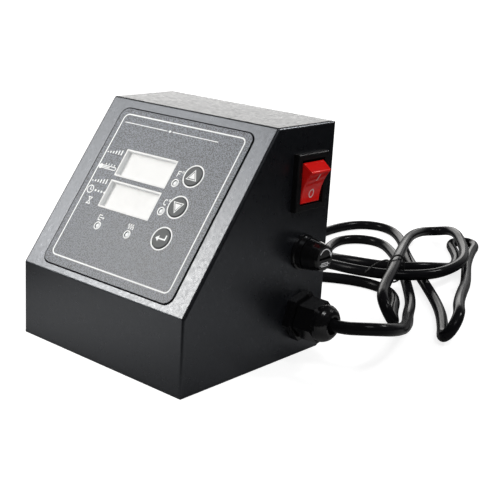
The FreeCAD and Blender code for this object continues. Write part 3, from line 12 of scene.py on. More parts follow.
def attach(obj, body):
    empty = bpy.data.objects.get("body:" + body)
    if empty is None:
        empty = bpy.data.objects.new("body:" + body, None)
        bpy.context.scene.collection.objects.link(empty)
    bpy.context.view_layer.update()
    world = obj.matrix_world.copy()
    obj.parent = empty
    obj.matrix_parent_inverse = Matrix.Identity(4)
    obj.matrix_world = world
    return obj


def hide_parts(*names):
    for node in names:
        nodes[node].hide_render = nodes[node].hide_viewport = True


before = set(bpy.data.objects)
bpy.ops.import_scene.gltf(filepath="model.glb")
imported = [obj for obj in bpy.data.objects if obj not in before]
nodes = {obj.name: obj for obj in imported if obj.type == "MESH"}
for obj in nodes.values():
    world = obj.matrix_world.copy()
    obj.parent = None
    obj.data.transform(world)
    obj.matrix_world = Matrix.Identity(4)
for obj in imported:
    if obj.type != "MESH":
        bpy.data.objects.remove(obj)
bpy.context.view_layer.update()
scene = bpy.context.scene
scene.view_settings.view_transform = "Standard"

MM = 0.001


# ---------------------------------------------------------------- camera

# Solved from the case's corners and edges in the photograph: metres, degrees and millimetres.
CAMERA_PLACE = (0.380105, -0.388944, 0.213126)
CAMERA_ANGLES = (73.6572, -3.2921, 40.9913)
FOCAL_LENGTH = 74.254
SENSOR_WIDTH = 36.0


def make_camera():
    lens = bpy.data.cameras.new("camera")
    lens.lens = FOCAL_LENGTH
    lens.sensor_width = SENSOR_WIDTH
    camera = bpy.data.objects.new("camera", lens)
    camera.location = CAMERA_PLACE
    camera.rotation_euler = Euler([math.radians(angle) for angle in CAMERA_ANGLES], "XYZ")
    scene.collection.objects.link(camera)
    scene.camera = camera


# ---------------------------------------------------------------- materials

# The colour sockets of a Mix node that is set to RGBA.
MIX_FIRST = 6
MIX_SECOND = 7
MIX_RESULT = 2


class Finish:
    """A principled material, with short ways to add its texture nodes."""

    def __init__(self, name, colour, roughness, **sockets):
        self.material = bpy.data.materials.new(name)
        self.material.use_nodes = True
        self.tree = self.material.node_tree
        self.shader = self.tree.nodes["Principled BSDF"]
        self.colour = colour
        self.set("Base Color", (*colour, 1.0))
        self.set("Roughness", roughness)
        for socket, value in sockets.items():
            self.set(socket.replace("_", " "), value)
        self.place = self.tree.nodes.new("ShaderNodeTexCoord").outputs["Object"]
        self.bumped = None

    def set(self, socket, value):
        self.shader.inputs[socket].default_value = value

    def add(self, kind, **inputs):
        node = self.tree.nodes.new("ShaderNode" + kind)
        for key, value in inputs.items():
            socket = node.inputs[key.replace("_", " ")]
            if isinstance(value, bpy.types.NodeSocket):
                self.tree.links.new(value, socket)
            else:
                socket.default_value = value
        return node

    def stretched(self, x, y, z):
        """Object coordinates scaled by axis, for brushed and layered finishes."""
        return self.add("Mapping", Vector=self.place, Scale=(x, y, z)).outputs["Vector"]

    def noise(self, scale, detail=2.0, place=None):
        node = self.add("TexNoise", Vector=place or self.place, Scale=scale, Detail=detail)
        return node.outputs["Fac"]

    def cells(self, scale):
        node = self.add("TexVoronoi", Vector=self.place, Scale=scale)
        return node.outputs["Distance"]

    def waves(self, scale, x, y, z):
        """Ribs that follow each other along one axis."""
        return self.add("TexWave", Vector=self.stretched(x, y, z), Scale=scale).outputs["Fac"]

    def ramp(self, factor, low, high, start=0.3, end=0.7):
        """A factor spread from low to high over the part of its range between start and end."""
        node = self.add("MapRange", Value=factor, From_Min=start, From_Max=end, To_Min=low,
                        To_Max=high)
        return node.outputs["Result"]

    def tint(self, factor, low, high):
        """Base colour between low and high times the finish's own colour."""
        node = self.tree.nodes.new("ShaderNodeMix")
        node.data_type = "RGBA"
        self.tree.links.new(factor, node.inputs["Factor"])
        node.inputs[MIX_FIRST].default_value = (*[low * c for c in self.colour], 1.0)
        node.inputs[MIX_SECOND].default_value = (*[high * c for c in self.colour], 1.0)
        self.tree.links.new(node.outputs[MIX_RESULT], self.shader.inputs["Base Color"])

    def rough(self, factor, low, high):
        self.tree.links.new(self.ramp(factor, low, high), self.shader.inputs["Roughness"])

    def bump(self, height, strength, distance):
        node = self.add("Bump", Height=height, Strength=strength, Distance=distance)
        if self.bumped:
            self.tree.links.new(self.bumped, node.inputs["Normal"])
        self.bumped = node.outputs["Normal"]
        self.tree.links.new(self.bumped, self.shader.inputs["Normal"])


def powder_coat():
    """Fine-textured satin black powder coat."""
    finish = Finish("powder_coat", (0.006, 0.0066, 0.0085), 0.3, Specular_IOR_Level=1.0,
                    Specular_Tint=(0.88, 0.925, 1.0, 1.0))
    grain = finish.noise(1500, 3)
    peel = finish.noise(480, 3)
    cloud = finish.noise(28, 3)
    finish.tint(cloud, 0.75, 1.3)
    finish.rough(peel, 0.27, 0.36)
    finish.bump(peel, 0.2, 0.00016)
    finish.bump(grain, 0.4, 0.00006)
    return finish.material


def keypad_print():
    """Charcoal polyester film with a fine embossed grain."""
    finish = Finish("keypad_print", (0.149, 0.163, 0.187), 0.42, Specular_IOR_Level=0.34)
    grain = finish.noise(1700, 1)
    speck = finish.ramp(grain, 0.0, 1.0, 0.42, 0.58)
    finish.tint(speck, 0.4, 1.6)
    finish.rough(speck, 0.35, 0.49)
    finish.bump(grain, 0.6, 0.0001)
    return finish.material


def key_face():
    """Dark grey key tops, a little finer than the film."""
    finish = Finish("key_face", (0.112, 0.12, 0.125), 0.55, Specular_IOR_Level=0.3)
    grain = finish.noise(1500, 2)
    finish.tint(grain, 0.8, 1.2)
    finish.rough(grain, 0.5, 0.62)
    finish.bump(grain, 0.4, 0.00006)
    return finish.material


def display_face():
    """Milky filter of the display windows, with a faint painted glow that brightens its shaded
    recess.
    """
    # The emission is painted light: the display is off, and the glow brightens the shade in its
    # window recess.
    finish = Finish("display_face", (0.7, 0.71, 0.71), 0.5, Emission_Color=(1.0, 1.0, 1.0, 1.0),
                    Emission_Strength=0.13)
    finish.tint(finish.noise(60), 0.97, 1.03)
    finish.rough(finish.noise(400), 0.42, 0.55)
    finish.bump(finish.noise(1500), 0.1, 0.00002)
    return finish.material


def lamp_lens():
    """Milky, slightly uneven lens of an indicator lamp."""
    finish = Finish("lamp_lens", (0.85, 0.88, 0.9), 0.35)
    finish.tint(finish.noise(500), 0.85, 1.15)
    finish.rough(finish.noise(900), 0.3, 0.44)
    finish.bump(finish.cells(1400), 0.2, 0.00005)
    return finish.material


def printing_ink(name, colour):
    """Screen-printed ink with slightly uneven cover."""
    finish = Finish(name, colour, 0.5)
    finish.tint(finish.noise(900, 3), 0.88, 1.08)
    finish.rough(finish.noise(300), 0.42, 0.56)
    finish.bump(finish.noise(2400), 0.15, 0.00002)
    return finish.material


def shadow_line():
    """Painted shadow of the gap round the film's edge: near-black, with no shine of its own."""
    finish = Finish("film_gap_shadow", (0.006, 0.006, 0.007), 1.0, Specular_IOR_Level=0.0)
    finish.tint(finish.noise(500), 0.8, 1.2)
    finish.bump(finish.noise(1500), 0.2, 0.00002)
    return finish.material


def moulded(name, colour, roughness, grain=900, depth=0.00004, **sockets):
    """Injection-moulded plastic: faint flow marks and a fine eroded grain."""
    finish = Finish(name, colour, roughness, **sockets)
    finish.tint(finish.noise(45, 3), 0.86, 1.14)
    finish.rough(finish.noise(160, 3), roughness * 0.82, roughness * 1.2)
    finish.bump(finish.noise(grain, 2), 0.25, depth)
    return finish.material


def lead_sheath():
    """Glossy black PVC sheath, drawn smooth."""
    finish = Finish("lead_pvc", (0.007, 0.007, 0.008), 0.2, Specular_IOR_Level=0.08)
    finish.tint(finish.noise(70, 3), 0.8, 1.25)
    finish.rough(finish.noise(60, 2), 0.17, 0.24)
    finish.bump(finish.noise(1500, 2), 0.04, 0.00001)
    return finish.material


def metal(name, colour, roughness):
    """Plated or turned metal with faint tool lines."""
    finish = Finish(name, colour, roughness, Metallic=1.0)
    lines = finish.stretched(1, 1, 12)
    finish.tint(finish.noise(60, 3), 0.86, 1.08)
    finish.rough(finish.noise(500, 3, lines), roughness * 0.75, roughness * 1.3)
    finish.bump(finish.noise(500, 2, lines), 0.2, 0.00003)
    return finish.material


def circuit_board():
    """Green solder mask over copper tracks."""
    finish = Finish("circuit_board", (0.012, 0.11, 0.045), 0.3, Specular_IOR_Level=0.5)
    tracks = finish.add("TexBrick", Vector=finish.place, Scale=190.0, Mortar_Size=0.09)
    finish.tint(tracks.outputs["Fac"], 1.0, 1.9)
    finish.rough(finish.noise(300), 0.24, 0.38)
    finish.bump(tracks.outputs["Fac"], 0.4, 0.00006)
    return finish.material


def laminations():
    """Stacked steel laminations under varnish."""
    finish = Finish("laminations", (0.07, 0.07, 0.075), 0.45, Metallic=0.7)
    sheets = finish.waves(320.0, 0.0, 1.0, 0.0)
    finish.tint(sheets, 0.55, 1.25)
    finish.rough(finish.noise(220), 0.36, 0.58)
    finish.bump(sheets, 0.6, 0.0001)
    return finish.material


def coil_wrap():
    """Yellow polyester tape wound over the coil."""
    finish = Finish("coil_wrap", (0.72, 0.5, 0.06), 0.3, Coat_Weight=0.3)
    laps = finish.waves(60.0, 0.0, 0.0, 1.0)
    finish.tint(laps, 0.86, 1.1)
    finish.rough(finish.noise(200), 0.24, 0.38)
    finish.bump(laps, 0.4, 0.0001)
    return finish.material


def ribbon_grey():
    """Grey flat cable, ribbed along its conductors."""
    finish = Finish("ribbon_grey", (0.36, 0.37, 0.39), 0.45)
    cores = finish.waves(250.0, 1.0, 0.0, 0.0)
    finish.tint(cores, 0.7, 1.1)
    finish.rough(finish.noise(200), 0.4, 0.55)
    finish.bump(cores, 0.7, 0.0003)
    return finish.material


def fuse_glass():
    """Clear glass of the fuse."""
    finish = Finish("fuse_glass", (0.92, 0.96, 0.96), 0.05, Transmission_Weight=0.9, IOR=1.5)
    finish.tint(finish.noise(300), 0.95, 1.02)
    finish.rough(finish.noise(500), 0.02, 0.09)
    finish.bump(finish.noise(700), 0.08, 0.00004)
    return finish.material


def dress(material, *names):
    """Give a finish to CAD nodes, by name."""
    for name in names:
        body = nodes[name]
        for slot in body.material_slots:
            slot.material = material
        if not body.material_slots:
            body.data.materials.append(material)


# ---------------------------------------------------------------- floor and light

FLOOR_REACH = 12.0
# The part of its light that the floor returns to the camera, and to the object.
FLOOR_SEEN = 0.5
FLOOR_LIT = 0.4
# The floor's glow to the camera: radii between which it grows, and its strength within and beyond.
FLOOR_GLOW = (0.5, 1.2, 0.8, 1.0)
# What reflections show of the floor: painted pools of light beside, before and behind the object,
# each with its centre x and y, the radii between which it fades, and its strength.
FLOOR_PAINTED_POOLS = (
    (0.16, 0.06, 0.07, 0.23, 0.49),
    (-0.05, -0.13, 0.03, 0.15, 0.62),
    (-0.12, 0.28, 0.08, 0.26, 0.35),
)
# Strengths of the room in reflections and as light, and of the backdrop in reflections.
ROOM_MIRRORED = 0.015
ROOM_LIGHT = 0.3
BACKDROP_MIRRORED = 0.5
# How the mirrored backdrop fades over each axis of a direction: start, end, and strength at both.
BACKDROP_BEHIND = (0.0, 0.6, 0.0, 1.0)
BACKDROP_LOW = (0.25, 0.6, 1.0, 0.0)
BACKDROP_LEFT = (-0.3, 0.3, 1.0, 0.0)
WHITE = (1.0, 1.0, 1.0)
# Name, place, aim, size, power and colour of each soft box, in metres and watts.
LAMPS = (
    ("slope_box", (-0.53, -0.365, 0.575), (0, -0.025, 0.085), (0.42, 0.42), 2.7,
     (1.0, 0.995, 0.99)),
    ("corner_box", (-0.44, -0.475, 0.505), (0.03, -0.05, 0.045), (0.16, 0.16), 1.35,
     (1.0, 0.94, 0.84)),
    ("edge_box", (-0.58, -0.49, 0.415), (-0.03, -0.05, 0.045), (0.17, 0.16), 0.85,
     (1.0, 0.985, 0.97)),
    ("front_box", (-0.75, -0.85, 0.05), (0, -0.05, 0.03), (0.5, 0.5), 0.8, (0.93, 0.98, 1.0)),
    ("back_box", (-0.75, 0.95, 0.3), (0, 0.03, 0.1), (0.9, 0.3), 1.95, (1.0, 0.985, 0.96)),
    ("rear_box", (0.34, 0.72, 0.66), (0.065, 0.034, 0.1), (0.15, 0.15), 2.0, WHITE),
    ("top_box", (0.42, -0.05, 0.7), (0.05, 0.05, 0.03), (0.22, 0.22), 1.2, WHITE),
)


class Graph:
    """Short ways to build the node trees of the floor and the world."""

    def __init__(self, tree):
        self.tree = tree

    def node(self, kind, **values):
        node = self.tree.nodes.new("ShaderNode" + kind)
        for key, value in values.items():
            setattr(node, key, value)
        return node

    def put(self, node, *inputs):
        """Set or link a node's inputs in their order, and return its first output."""
        for socket, value in zip(node.inputs, inputs):
            if isinstance(value, bpy.types.NodeSocket):
                self.tree.links.new(value, socket)
            else:
                socket.default_value = value
        return node.outputs[0]

    def maths(self, operation, *inputs):
        return self.put(self.node("Math", operation=operation), *inputs)

    def spread(self, value, start, end, low, high):
        """A smooth step from low, where the value is at start, to high at end."""
        step = self.node("MapRange", interpolation_type="SMOOTHSTEP")
        return self.put(step, value, start, end, low, high)

    def away_from(self, x, y):
        """Distance from a point of the floor."""
        gap = self.node("VectorMath", operation="DISTANCE")
        self.put(gap, self.node("NewGeometry").outputs["Position"], (x, y, 0.0))
        return gap.outputs["Value"]

    def by_ray(self, direct, mirrored, otherwise):
        """A strength by the kind of ray: seen directly or through glass, mirrored, or as light."""
        path = self.node("LightPath").outputs
        seen = self.maths("MAXIMUM", path["Is Camera Ray"], path["Is Transmission Ray"])
        shiny = self.maths("MULTIPLY", path["Is Glossy Ray"], self.maths("SUBTRACT", 1.0, seen))
        rest = self.maths("SUBTRACT", self.maths("SUBTRACT", 1.0, seen), shiny)
        first = self.maths("MULTIPLY", seen, direct)
        second = self.maths("MULTIPLY_ADD", shiny, mirrored, first)
        return self.maths("MULTIPLY_ADD", rest, otherwise, second)


def make_floor():
    """A floor that keeps the object's shadow, white to the camera, with painted light pools in
    reflections.
    """
    mesh = bpy.data.meshes.new("floor")
    signs = ((-1, -1), (1, -1), (1, 1), (-1, 1))
    corners = [(x * FLOOR_REACH, y * FLOOR_REACH, 0) for x, y in signs]
    mesh.from_pydata(corners, [], [(0, 1, 2, 3)])
    floor = bpy.data.objects.new("floor", mesh)
    scene.collection.objects.link(floor)
    material = bpy.data.materials.new("floor")
    material.use_nodes = True
    tree = material.node_tree
    tree.nodes.clear()
    graph = Graph(tree)
    matt = graph.node("BsdfDiffuse")
    # Painted pools of light, seen only in reflections, placed by their distance from points of the
    # floor.
    mirrored = 0.0
    for x, y, inner, outer, strength in FLOOR_PAINTED_POOLS:
        pool = graph.spread(graph.away_from(x, y), inner, outer, strength, 0.0)
        mirrored = graph.maths("ADD", mirrored, pool)
    tree.links.new(graph.by_ray(FLOOR_SEEN, mirrored, FLOOR_LIT), matt.inputs["Color"])
    glow = graph.node("Emission")
    far_glow = graph.spread(graph.away_from(0.0, 0.0), *FLOOR_GLOW)
    tree.links.new(graph.by_ray(far_glow, 0.0, 0.0), glow.inputs["Strength"])
    both = graph.node("AddShader")
    tree.links.new(matt.outputs[0], both.inputs[0])
    tree.links.new(glow.outputs[0], both.inputs[1])
    tree.links.new(both.outputs[0], graph.node("OutputMaterial").inputs["Surface"])
    mesh.materials.append(material)


def make_world():
    """White to the camera. Reflections show a dark room and a pale backdrop, behind on the left."""
    world = bpy.data.worlds.new("studio")
    scene.world = world
    world.use_nodes = True
    tree = world.node_tree
    sky = tree.nodes["Background"]
    sky.inputs["Color"].default_value = (*WHITE, 1.0)
    graph = Graph(tree)
    axes = graph.node("SeparateXYZ")
    tree.links.new(graph.node("TexCoord").outputs["Generated"], axes.inputs[0])
    behind = graph.spread(axes.outputs["Y"], *BACKDROP_BEHIND)
    low = graph.spread(axes.outputs["Z"], *BACKDROP_LOW)
    left = graph.spread(axes.outputs["X"], *BACKDROP_LEFT)
    backdrop = graph.maths("MULTIPLY", graph.maths("MULTIPLY", behind, low), left)
    mirrored = graph.maths("MULTIPLY_ADD", backdrop, BACKDROP_MIRRORED, ROOM_MIRRORED)
    tree.links.new(graph.by_ray(1.0, mirrored, ROOM_LIGHT), sky.inputs["Strength"])


def make_lamp(name, place, aim, size, power, colour):
    data = bpy.data.lights.new(name, "AREA")
    data.shape = "RECTANGLE"
    data.size, data.size_y = size
    data.energy = power
    data.color = colour
    light = bpy.data.objects.new(name, data)
    light.location = place
    light.rotation_euler = (Vector(aim) - Vector(place)).to_track_quat("-Z", "Y").to_euler()
    scene.collection.objects.link(light)


# ---------------------------------------------------------------- lead

# The lead's control points in millimetres, from the gland to the plug, as in part.py.
LEAD_ROUTE = [
    (82.2, 34.2, 23.6), (92.2, 34.2, 24.4), (101, 36, 26.1), (108, 43.5, 25.9), (109.5, 55, 23.2),
    (105.5, 71, 18.8), (96.5, 89.5, 13.3), (85.5, 109.5, 7.9), (73.5, 129, 4), (62.5, 150, 3.6),
    (45.5, 173.5, 3.6), (13, 215, 3.6), (-12, 240.5, 3.6), (-30.5, 254.5, 3.6), (-47, 251, 3.6),
    (-55, 235.5, 3.6), (-50.5, 216, 3.6), (-40.5, 197.5, 3.6), (-26, 183, 6.5), (-8, 177, 10.3),
    (10.5, 178, 11.8), (26.5, 185, 11.8), (37, 200.5, 11.8), (41.5, 220, 8.5), (39.5, 240.5, 3.6),
    (31.5, 261, 3.6), (19.5, 278, 3.6), (7, 292.5, 3.6), (4, 305, 3.6), (12, 312.5, 3.6),
    (21.5, 306, 3.6), (28.5, 285.5, 3.6), (42.5, 255, 3.6), (58, 227, 5.5), (73, 199, 8.8),
    (87, 168.5, 13.5), (101.5, 138.5, 17), (112.5, 121, 17.6), (114, 111, 10.6),
    (108, 111.5, 3.6), (99.5, 127, 3.6), (80.5, 155.5, 3.6), (45, 194.5, 3.6), (3, 237.5, 3.6),
    (-30, 280.5, 3.6), (-53.5, 296, 3.6), (-72, 288.5, 3.6), (-78.5, 265, 3.6),
    (-75.5, 231.5, 3.6), (-61.5, 198.5, 3.6), (-39, 171.5, 3.6), (-15, 162, 9.5),
    (14.5, 158.5, 11.8), (38, 170.5, 11.8), (52, 191.5, 11.8), (53.5, 215, 11.8),
    (48.5, 238, 11.8), (38, 258.5, 11.8), (25, 277.5, 11.8), (11.5, 294.5, 12.6), (-2, 306.5, 11),
    (-14, 307.5, 7.5), (-19, 294, 8.5), (-12, 267, 12), (3.5, 234, 16.5), (25, 191.5, 20),
    (42.5, 157.5, 20), (57, 124.5, 18.4), (67.5, 108, 17.4), (74.5, 105, 11), (75.5, 111, 3.6),
    (65, 124.5, 4.2), (55, 143.5, 4.4), (41, 159, 3.6), (23.5, 164, 3.6), (3.5, 158, 3.6),
    (-18, 142.5, 3.6), (-32.5, 128.5, 7.5), (-43.5, 121, 12), (-55, 113.5, 12),
]
LEAD_RADIUS = 3.5


def make_lead(material):
    """The lead as a round sweep along the CAD tube's control points."""
    curve = bpy.data.curves.new("lead", "CURVE")
    curve.dimensions = "3D"
    curve.bevel_depth = LEAD_RADIUS * MM
    curve.bevel_resolution = 6
    curve.resolution_u = 10
    curve.use_fill_caps = True
    spline = curve.splines.new("NURBS")
    spline.points.add(len(LEAD_ROUTE) - 1)
    for point, (x, y, z) in zip(spline.points, LEAD_ROUTE):
        point.co = (x * MM, y * MM, z * MM, 1)
    spline.order_u = 3
    spline.use_endpoint_u = True
    curve.materials.append(material)
    lead = bpy.data.objects.new("lead", curve)
    scene.collection.objects.link(lead)
    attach(lead, "controller")
    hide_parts("power_lead")


# ---------------------------------------------------------------- printed marks

# Millimetres, as is all of this section. The slope rises by RISE over a depth of RUN.
RISE = 86.3
RUN = 63.5
SLOPE_CORNER = (-61.2, -55.2, 41.5)
PANEL_SHIFT = (1.6, -0.35, 0)
ROCKER_FACE = (61.2, 34.2, 98)
CAP_END = (76.5, 34.2, 59)
FILM_TOP = 0.5
INK_DEPTH = 0.03
INK_LIFT = 0.02
ROCKER_LIFT = 0.05
FILM_EDGE_LIFT = 0.25
# The least cosine at a stroke's corner, which keeps the mitre of a sharp corner short.
SHARPEST = 0.5
# A step between two points of a stroke that has no direction.
TINY = 1e-9
# How far outside a surface the look for it starts.
LOOK_FROM = 20
ACROSS = Vector((1, 0, 0))
BACKWARDS = Vector((0, 1, 0))
UPWARDS = Vector((0, 0, 1))
UP_SLOPE = Vector((0, RUN, RISE)) / math.hypot(RISE, RUN)


def plane(origin, across, up):
    """A frame on a surface, with x across it, y up it and z out of it."""
    out = across.cross(up)
    turn = Matrix((across, up, out)).transposed().to_4x4()
    return Matrix.Translation(Vector(origin) * MM) @ turn @ Matrix.Scale(MM, 4)


# The film's own frame, in which its print, the keys and the lamps have their places.
SLOPE = plane(SLOPE_CORNER, ACROSS, UP_SLOPE) @ Matrix.Translation(PANEL_SHIFT)
TOP_KEY = (83.6, 71.6)
KEY_PITCH = 18.15
LAMP_CENTRES = ((74, 65.7), (74.3, 49.1), (60.2, 31.9), (37.3, 31.7))


def arc(x, y, radius, start, end, steps, tall=None):
    """Points of an arc, or of part of an ellipse, between two angles in degrees."""
    tall = radius if tall is None else tall
    angles = [math.radians(start + (end - start) * n / steps) for n in range(steps + 1)]
    return [(x + radius * math.cos(a), y + tall * math.sin(a)) for a in angles]


def rounded(x, y, wide, tall, corner):
    """Points round a rectangle with rounded corners."""
    points = []
    for way_x, way_y, start in ((1, -1, -90), (1, 1, 0), (-1, 1, 90), (-1, -1, 180)):
        centre = (x + way_x * (wide / 2 - corner), y + way_y * (tall / 2 - corner))
        points += arc(*centre, corner, start, start + 90, 8)
    return points


class Print:
    """Strokes and filled shapes printed in one plane, gathered into one piece."""

    def __init__(self):
        self.mesh = bmesh.new()

    def loop(self, points):
        return [self.mesh.verts.new((x, y, 0)) for x, y in points]

    def fill(self, points):
        self.mesh.faces.new(self.loop(points))

    def stroke(self, points, width, closed=False):
        """A line of even width with mitred corners."""
        count = len(points)
        line = [Vector(point) for point in points]
        left = []
        right = []
        for n, here in enumerate(line):
            before = line[n - 1] if closed or n else here
            after = line[(n + 1) % count] if closed or n < count - 1 else here
            ways = [way.normalized() for way in (here - before, after - here) if way.length > TINY]
            along = sum(ways, Vector((0, 0))).normalized()
            side = Vector((-along.y, along.x))
            reach = width / 2 / max(SHARPEST, side.dot(Vector((-ways[0].y, ways[0].x))))
            left.append(here + side * reach)
            right.append(here - side * reach)
        left = self.loop(left)
        right = self.loop(right)
        for n in range(count if closed else count - 1):
            m = (n + 1) % count
            self.mesh.faces.new((right[n], right[m], left[m], left[n]))

    def ring(self, x, y, radius, width):
        self.stroke(arc(x, y, radius, 0, 360, 48)[:-1], width, closed=True)

    def disc(self, x, y, radius):
        self.fill(arc(x, y, radius, 0, 360, 32)[:-1])

    def place(self, name, where, material, body, slot, lift=INK_LIFT, surface=None):
        """Set the print on its plane, or wrap it onto a CAD node that lies along the plane's z."""
        mesh = bpy.data.meshes.new(name)
        self.mesh.to_mesh(mesh)
        self.mesh.free()
        for vertex in mesh.vertices:
            spot = where @ Vector((vertex.co.x, vertex.co.y, lift))
            if surface:
                spot = wrapped(spot, where, lift, surface)
            vertex.co = spot
        mesh.materials.append(material)
        piece = bpy.data.objects.new(name, mesh)
        scene.collection.objects.link(piece)
        skin = piece.modifiers.new("ink_depth", "SOLIDIFY")
        skin.thickness = INK_DEPTH * MM
        skin.offset = 0.0
        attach(piece, body)


def wrapped(spot, where, lift, surface):
    """The point of a CAD node's surface under a point of the print, lifted along the plane's z."""
    inward = -(where.to_3x3() @ UPWARDS).normalized()
    found, hit = nodes[surface].ray_cast(spot - inward * LOOK_FROM * MM, inward)[:2]
    if not found:
        raise RuntimeError(f"{surface} has no surface under the print")
    return hit - inward * lift * MM


def thermometer(ink, x, y):
    ink.disc(x, y, 1.5)
    ink.stroke([(x + 1.2, y + 0.85), (x + 11, y + 0.85)] + arc(x + 11, y, 0.85, 90, -90, 8)
               + [(x + 11, y - 0.85), (x + 1.2, y - 0.85)], 0.5)
    ink.stroke([(x, y), (x + 7, y)], 0.6)
    for n in range(4):
        ink.stroke([(x + 3.2 + 2.2 * n, y + 1.3), (x + 3.2 + 2.2 * n, y + 2.4)], 0.6)


def clock(ink, x, y):
    ink.ring(x, y, 2.2, 0.6)
    ink.stroke([(x, y + 1.4), (x, y), (x + 1.1, y - 0.5)], 0.55)
    for n in range(4):
        ink.disc(x + 4.2 + 2.4 * n, y, 0.7)


def hourglass(ink, x, y):
    corners = [(x - 1.3, y + 1.9), (x + 1.3, y + 1.9), (x - 1.3, y - 1.9), (x + 1.3, y - 1.9)]
    ink.stroke(corners, 0.6, closed=True)


def level_bars(ink, x, y):
    for n in range(6):
        ink.stroke([(x + 2.1 * n, y - 1.5), (x + 2.1 * n, y - 0.7 + 0.45 * n)], 0.9)


def heat_waves(ink, x, y):
    for n in (-1, 0, 1):
        middle = x + 1.5 * n
        wave = [(middle + 0.45 * math.sin(math.pi * k / 4), y - 1.5 + 3 * k / 8) for k in range(9)]
        ink.stroke(wave, 0.6)


def way_out(ink, x, y):
    doorway = [(x + 0.4, y + 1.4), (x - 1.8, y + 1.4), (x - 1.8, y - 1.4), (x + 0.4, y - 1.4)]
    ink.stroke(doorway, 0.55)
    ink.stroke([(x - 0.9, y), (x + 1.9, y)], 0.55)
    ink.fill([(x + 2.6, y), (x + 1.5, y + 0.8), (x + 1.5, y - 0.8)])


def unit_mark(ink, x, y, letter):
    """A degree ring and the unit's letter."""
    ink.ring(x + 2.1, y + 1.5, 0.5, 0.35)
    if letter == "F":
        ink.stroke([(x - 1.1, y - 1.6), (x - 1.1, y + 1.5), (x + 1.0, y + 1.5)], 0.55)
        ink.stroke([(x - 0.9, y + 0.1), (x + 0.6, y + 0.1)], 0.55)
    else:
        ink.stroke(arc(x, y - 0.1, 1.15, 50, 310, 18, 1.5), 0.55)


def key_centre(row):
    return TOP_KEY[0], TOP_KEY[1] - KEY_PITCH * row


def make_panel_print(white):
    """The film's print: frame line, plain title rule, symbols, and rings round keys and lamps."""
    ink = Print()
    ink.stroke(rounded(60.05, 53.8, 89.3, 88.5, 3.2), 0.82, closed=True)
    ink.stroke([(18, 93), (51, 93)], 0.5)
    ink.stroke([(55, 93), (88, 93)], 0.5)
    ink.fill([(51.8, 93), (53, 92.1), (54.2, 93), (53, 93.9)])
    level_bars(ink, 17, 74.7)
    thermometer(ink, 17.3, 64.6)
    level_bars(ink, 17, 56.5)
    clock(ink, 18.7, 50.2)
    hourglass(ink, 22.2, 43.9)
    unit_mark(ink, 73.9, 71.0, "F")
    unit_mark(ink, 74.6, 54.4, "C")
    way_out(ink, 37.2, 36.4)
    heat_waves(ink, 60.4, 36.5)
    for row in range(3):
        ink.ring(*key_centre(row), 6.27, 0.8)
    for x, y in LAMP_CENTRES:
        ink.ring(x, y, 2.05, 0.7)
    ink.place("panel_print", SLOPE, white, "controller", "keypad_print", FILM_TOP + INK_LIFT)


def make_key_mark(row, ink, white, body, surface):
    centre = SLOPE @ Matrix.Translation((*key_centre(row), 0))
    ink.place(f"mark_{surface}", centre, white, body, "key_face", INK_LIFT, surface)


def make_key_marks(white):
    """Outlined triangles on the up and down keys and an enter arrow on the third."""
    keys = (("up_key", "key_up", 1), ("down_key", "key_down", -1))
    for row, (body, surface, way) in enumerate(keys):
        corners = [(0, 3.3 * way), (-3.3, -2.3 * way), (3.3, -2.3 * way)]
        ink = Print()
        ink.stroke(corners, 0.45, closed=True)
        ink.fill([(x * 0.66, (y + 0.25 * way) * 0.66 - 0.25 * way) for x, y in corners])
        make_key_mark(row, ink, white, body, surface)
    ink = Print()
    ink.stroke([(3.0, 2.2), (3.0, -0.4), (-1.6, -0.4)], 0.85)
    ink.fill([(-3.7, -0.4), (-1.4, 1.3), (-1.4, -2.1)])
    make_key_mark(2, ink, white, "set_key", "key_set")


def make_film_edge_shadow(dark):
    """A painted shadow line round the film, where the gap at its edge lies in shade."""
    ink = Print()
    # Painted shadow: a near-black ring laid where the film's edge meets the case.
    ink.stroke(rounded(60, 53, 97.7, 97.7, 5.2), 0.85, closed=True)
    ink.place("film_edge", SLOPE, dark, "controller", "black_plastic", FILM_EDGE_LIFT)


def make_rocker_marks(pink):
    """The bar and ring pressed into the rocker's face."""
    face = plane(ROCKER_FACE, BACKWARDS, UPWARDS)
    bar = Print()
    bar.stroke([(0.2, 0.9), (0.5, 4.6)], 0.75)
    bar.place("mark_on", face, pink, "rocker", "red_plastic", ROCKER_LIFT, "rocker")
    ring = Print()
    ring.stroke(arc(-0.2, -6.2, 1.75, 0, 360, 40, 2.1)[:-1], 0.7, closed=True)
    ring.place("mark_off", face, pink, "rocker", "red_plastic", ROCKER_LIFT, "rocker")


def make_cap_mark(grey):
    """A turning arrow and a fuse sign on the end of the fuse cap."""
    end = plane(CAP_END, BACKWARDS, UPWARDS)
    ink = Print()
    ink.stroke(arc(0, 0, 4.9, 150, 20, 20), 0.6)
    ink.fill([(4.9 + dx, 1.7 + dy) for dx, dy in ((-1.2, 0.4), (1.1, 0.6), (0.2, -1.6))])
    ink.stroke([(-2.6, -4.3), (2.6, -4.3), (2.6, -2.6), (-2.6, -2.6)], 0.4, closed=True)
    ink.stroke([(-4.2, -3.45), (4.2, -3.45)], 0.35)
    ink.place("cap_mark", end, grey, "cap", "black_plastic")


# ---------------------------------------------------------------- build

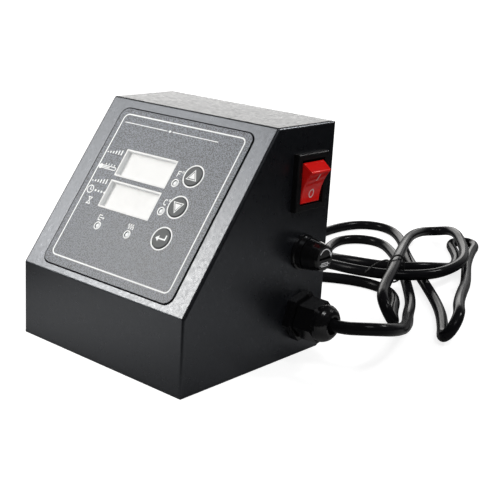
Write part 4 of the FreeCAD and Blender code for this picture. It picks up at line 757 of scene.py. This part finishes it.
make_camera()
make_world()
for settings in LAMPS:
    make_lamp(*settings)
make_floor()
pvc = lead_sheath()
make_lead(pvc)
dress(powder_coat(), "case", "chassis")
dress(keypad_print(), "keypad_film")
dress(key_face(), "key_up", "key_down", "key_set")
dress(display_face(), "display_upper", "display_lower")
dress(lamp_lens(), "lamp_fahrenheit", "lamp_celsius", "lamp_work", "lamp_output")
black = moulded("black_plastic", (0.006, 0.006, 0.0066), 0.17, 300, 0.00002)
satin = moulded("black_plastic_satin", (0.006, 0.006, 0.0066), 0.42, 300, 0.00002,
                Specular_IOR_Level=0.3)
dress(satin, "switch_body")
dress(black, "fuse_body", "fuse_nut", "fuse_cap", "gland_body", "gland_nut", "gland_locknut",
      "socket_insert", "tact_up", "tact_down", "tact_set", "controller_chip", "buzzer", "capacitor")
red = moulded("red_plastic", (0.82, 0.012, 0.01), 0.12, 200, 0.00001, Specular_IOR_Level=0.3)
dress(red, "rocker")
dress(moulded("seal_rubber", (0.014, 0.014, 0.014), 0.6), "gland_seal")
dress(pvc, "lead_tail", "plug_relief", "plug_body")
dress(moulded("tie_wire", (0.014, 0.014, 0.014), 0.5), "lead_tie")
zinc = metal("zinc_steel", (0.62, 0.62, 0.6), 0.32)
dress(zinc, "base_screws", "rear_screws", "clinch_nuts", "board_screws", "rocker_pin")
brass = metal("brass", (0.72, 0.5, 0.2), 0.3)
dress(brass, "display_posts", "board_posts", "switch_blades", "fuse_tags", "fuse_clip",
      "earth_stud")
dress(metal("socket_metal", (0.72, 0.73, 0.75), 0.16), "socket_shell", "socket_nut", "fuse_ends")
dress(metal("pin_metal", (0.8, 0.74, 0.55), 0.2), "socket_pins", "plug_blades", "plug_earth_pin")
dress(circuit_board(), "display_board", "power_board")
dress(laminations(), "transformer_core")
dress(coil_wrap(), "transformer_coil")
dress(moulded("blue_plastic", (0.03, 0.13, 0.5), 0.3), "relay")
dress(moulded("green_plastic", (0.03, 0.3, 0.1), 0.4), "terminal_block")
dress(moulded("hookup_wire", (0.4, 0.03, 0.025), 0.38), "mains_wiring", "output_wiring")
dress(ribbon_grey(), "ribbon_cable")
dress(fuse_glass(), "fuse_glass")
white = printing_ink("print_white", (0.9, 0.92, 0.93))
make_panel_print(white)
make_key_marks(white)
make_film_edge_shadow(shadow_line())
make_rocker_marks(printing_ink("mark_pink", (0.85, 0.55, 0.55)))
make_cap_mark(printing_ink("mark_grey", (0.88, 0.88, 0.9)))
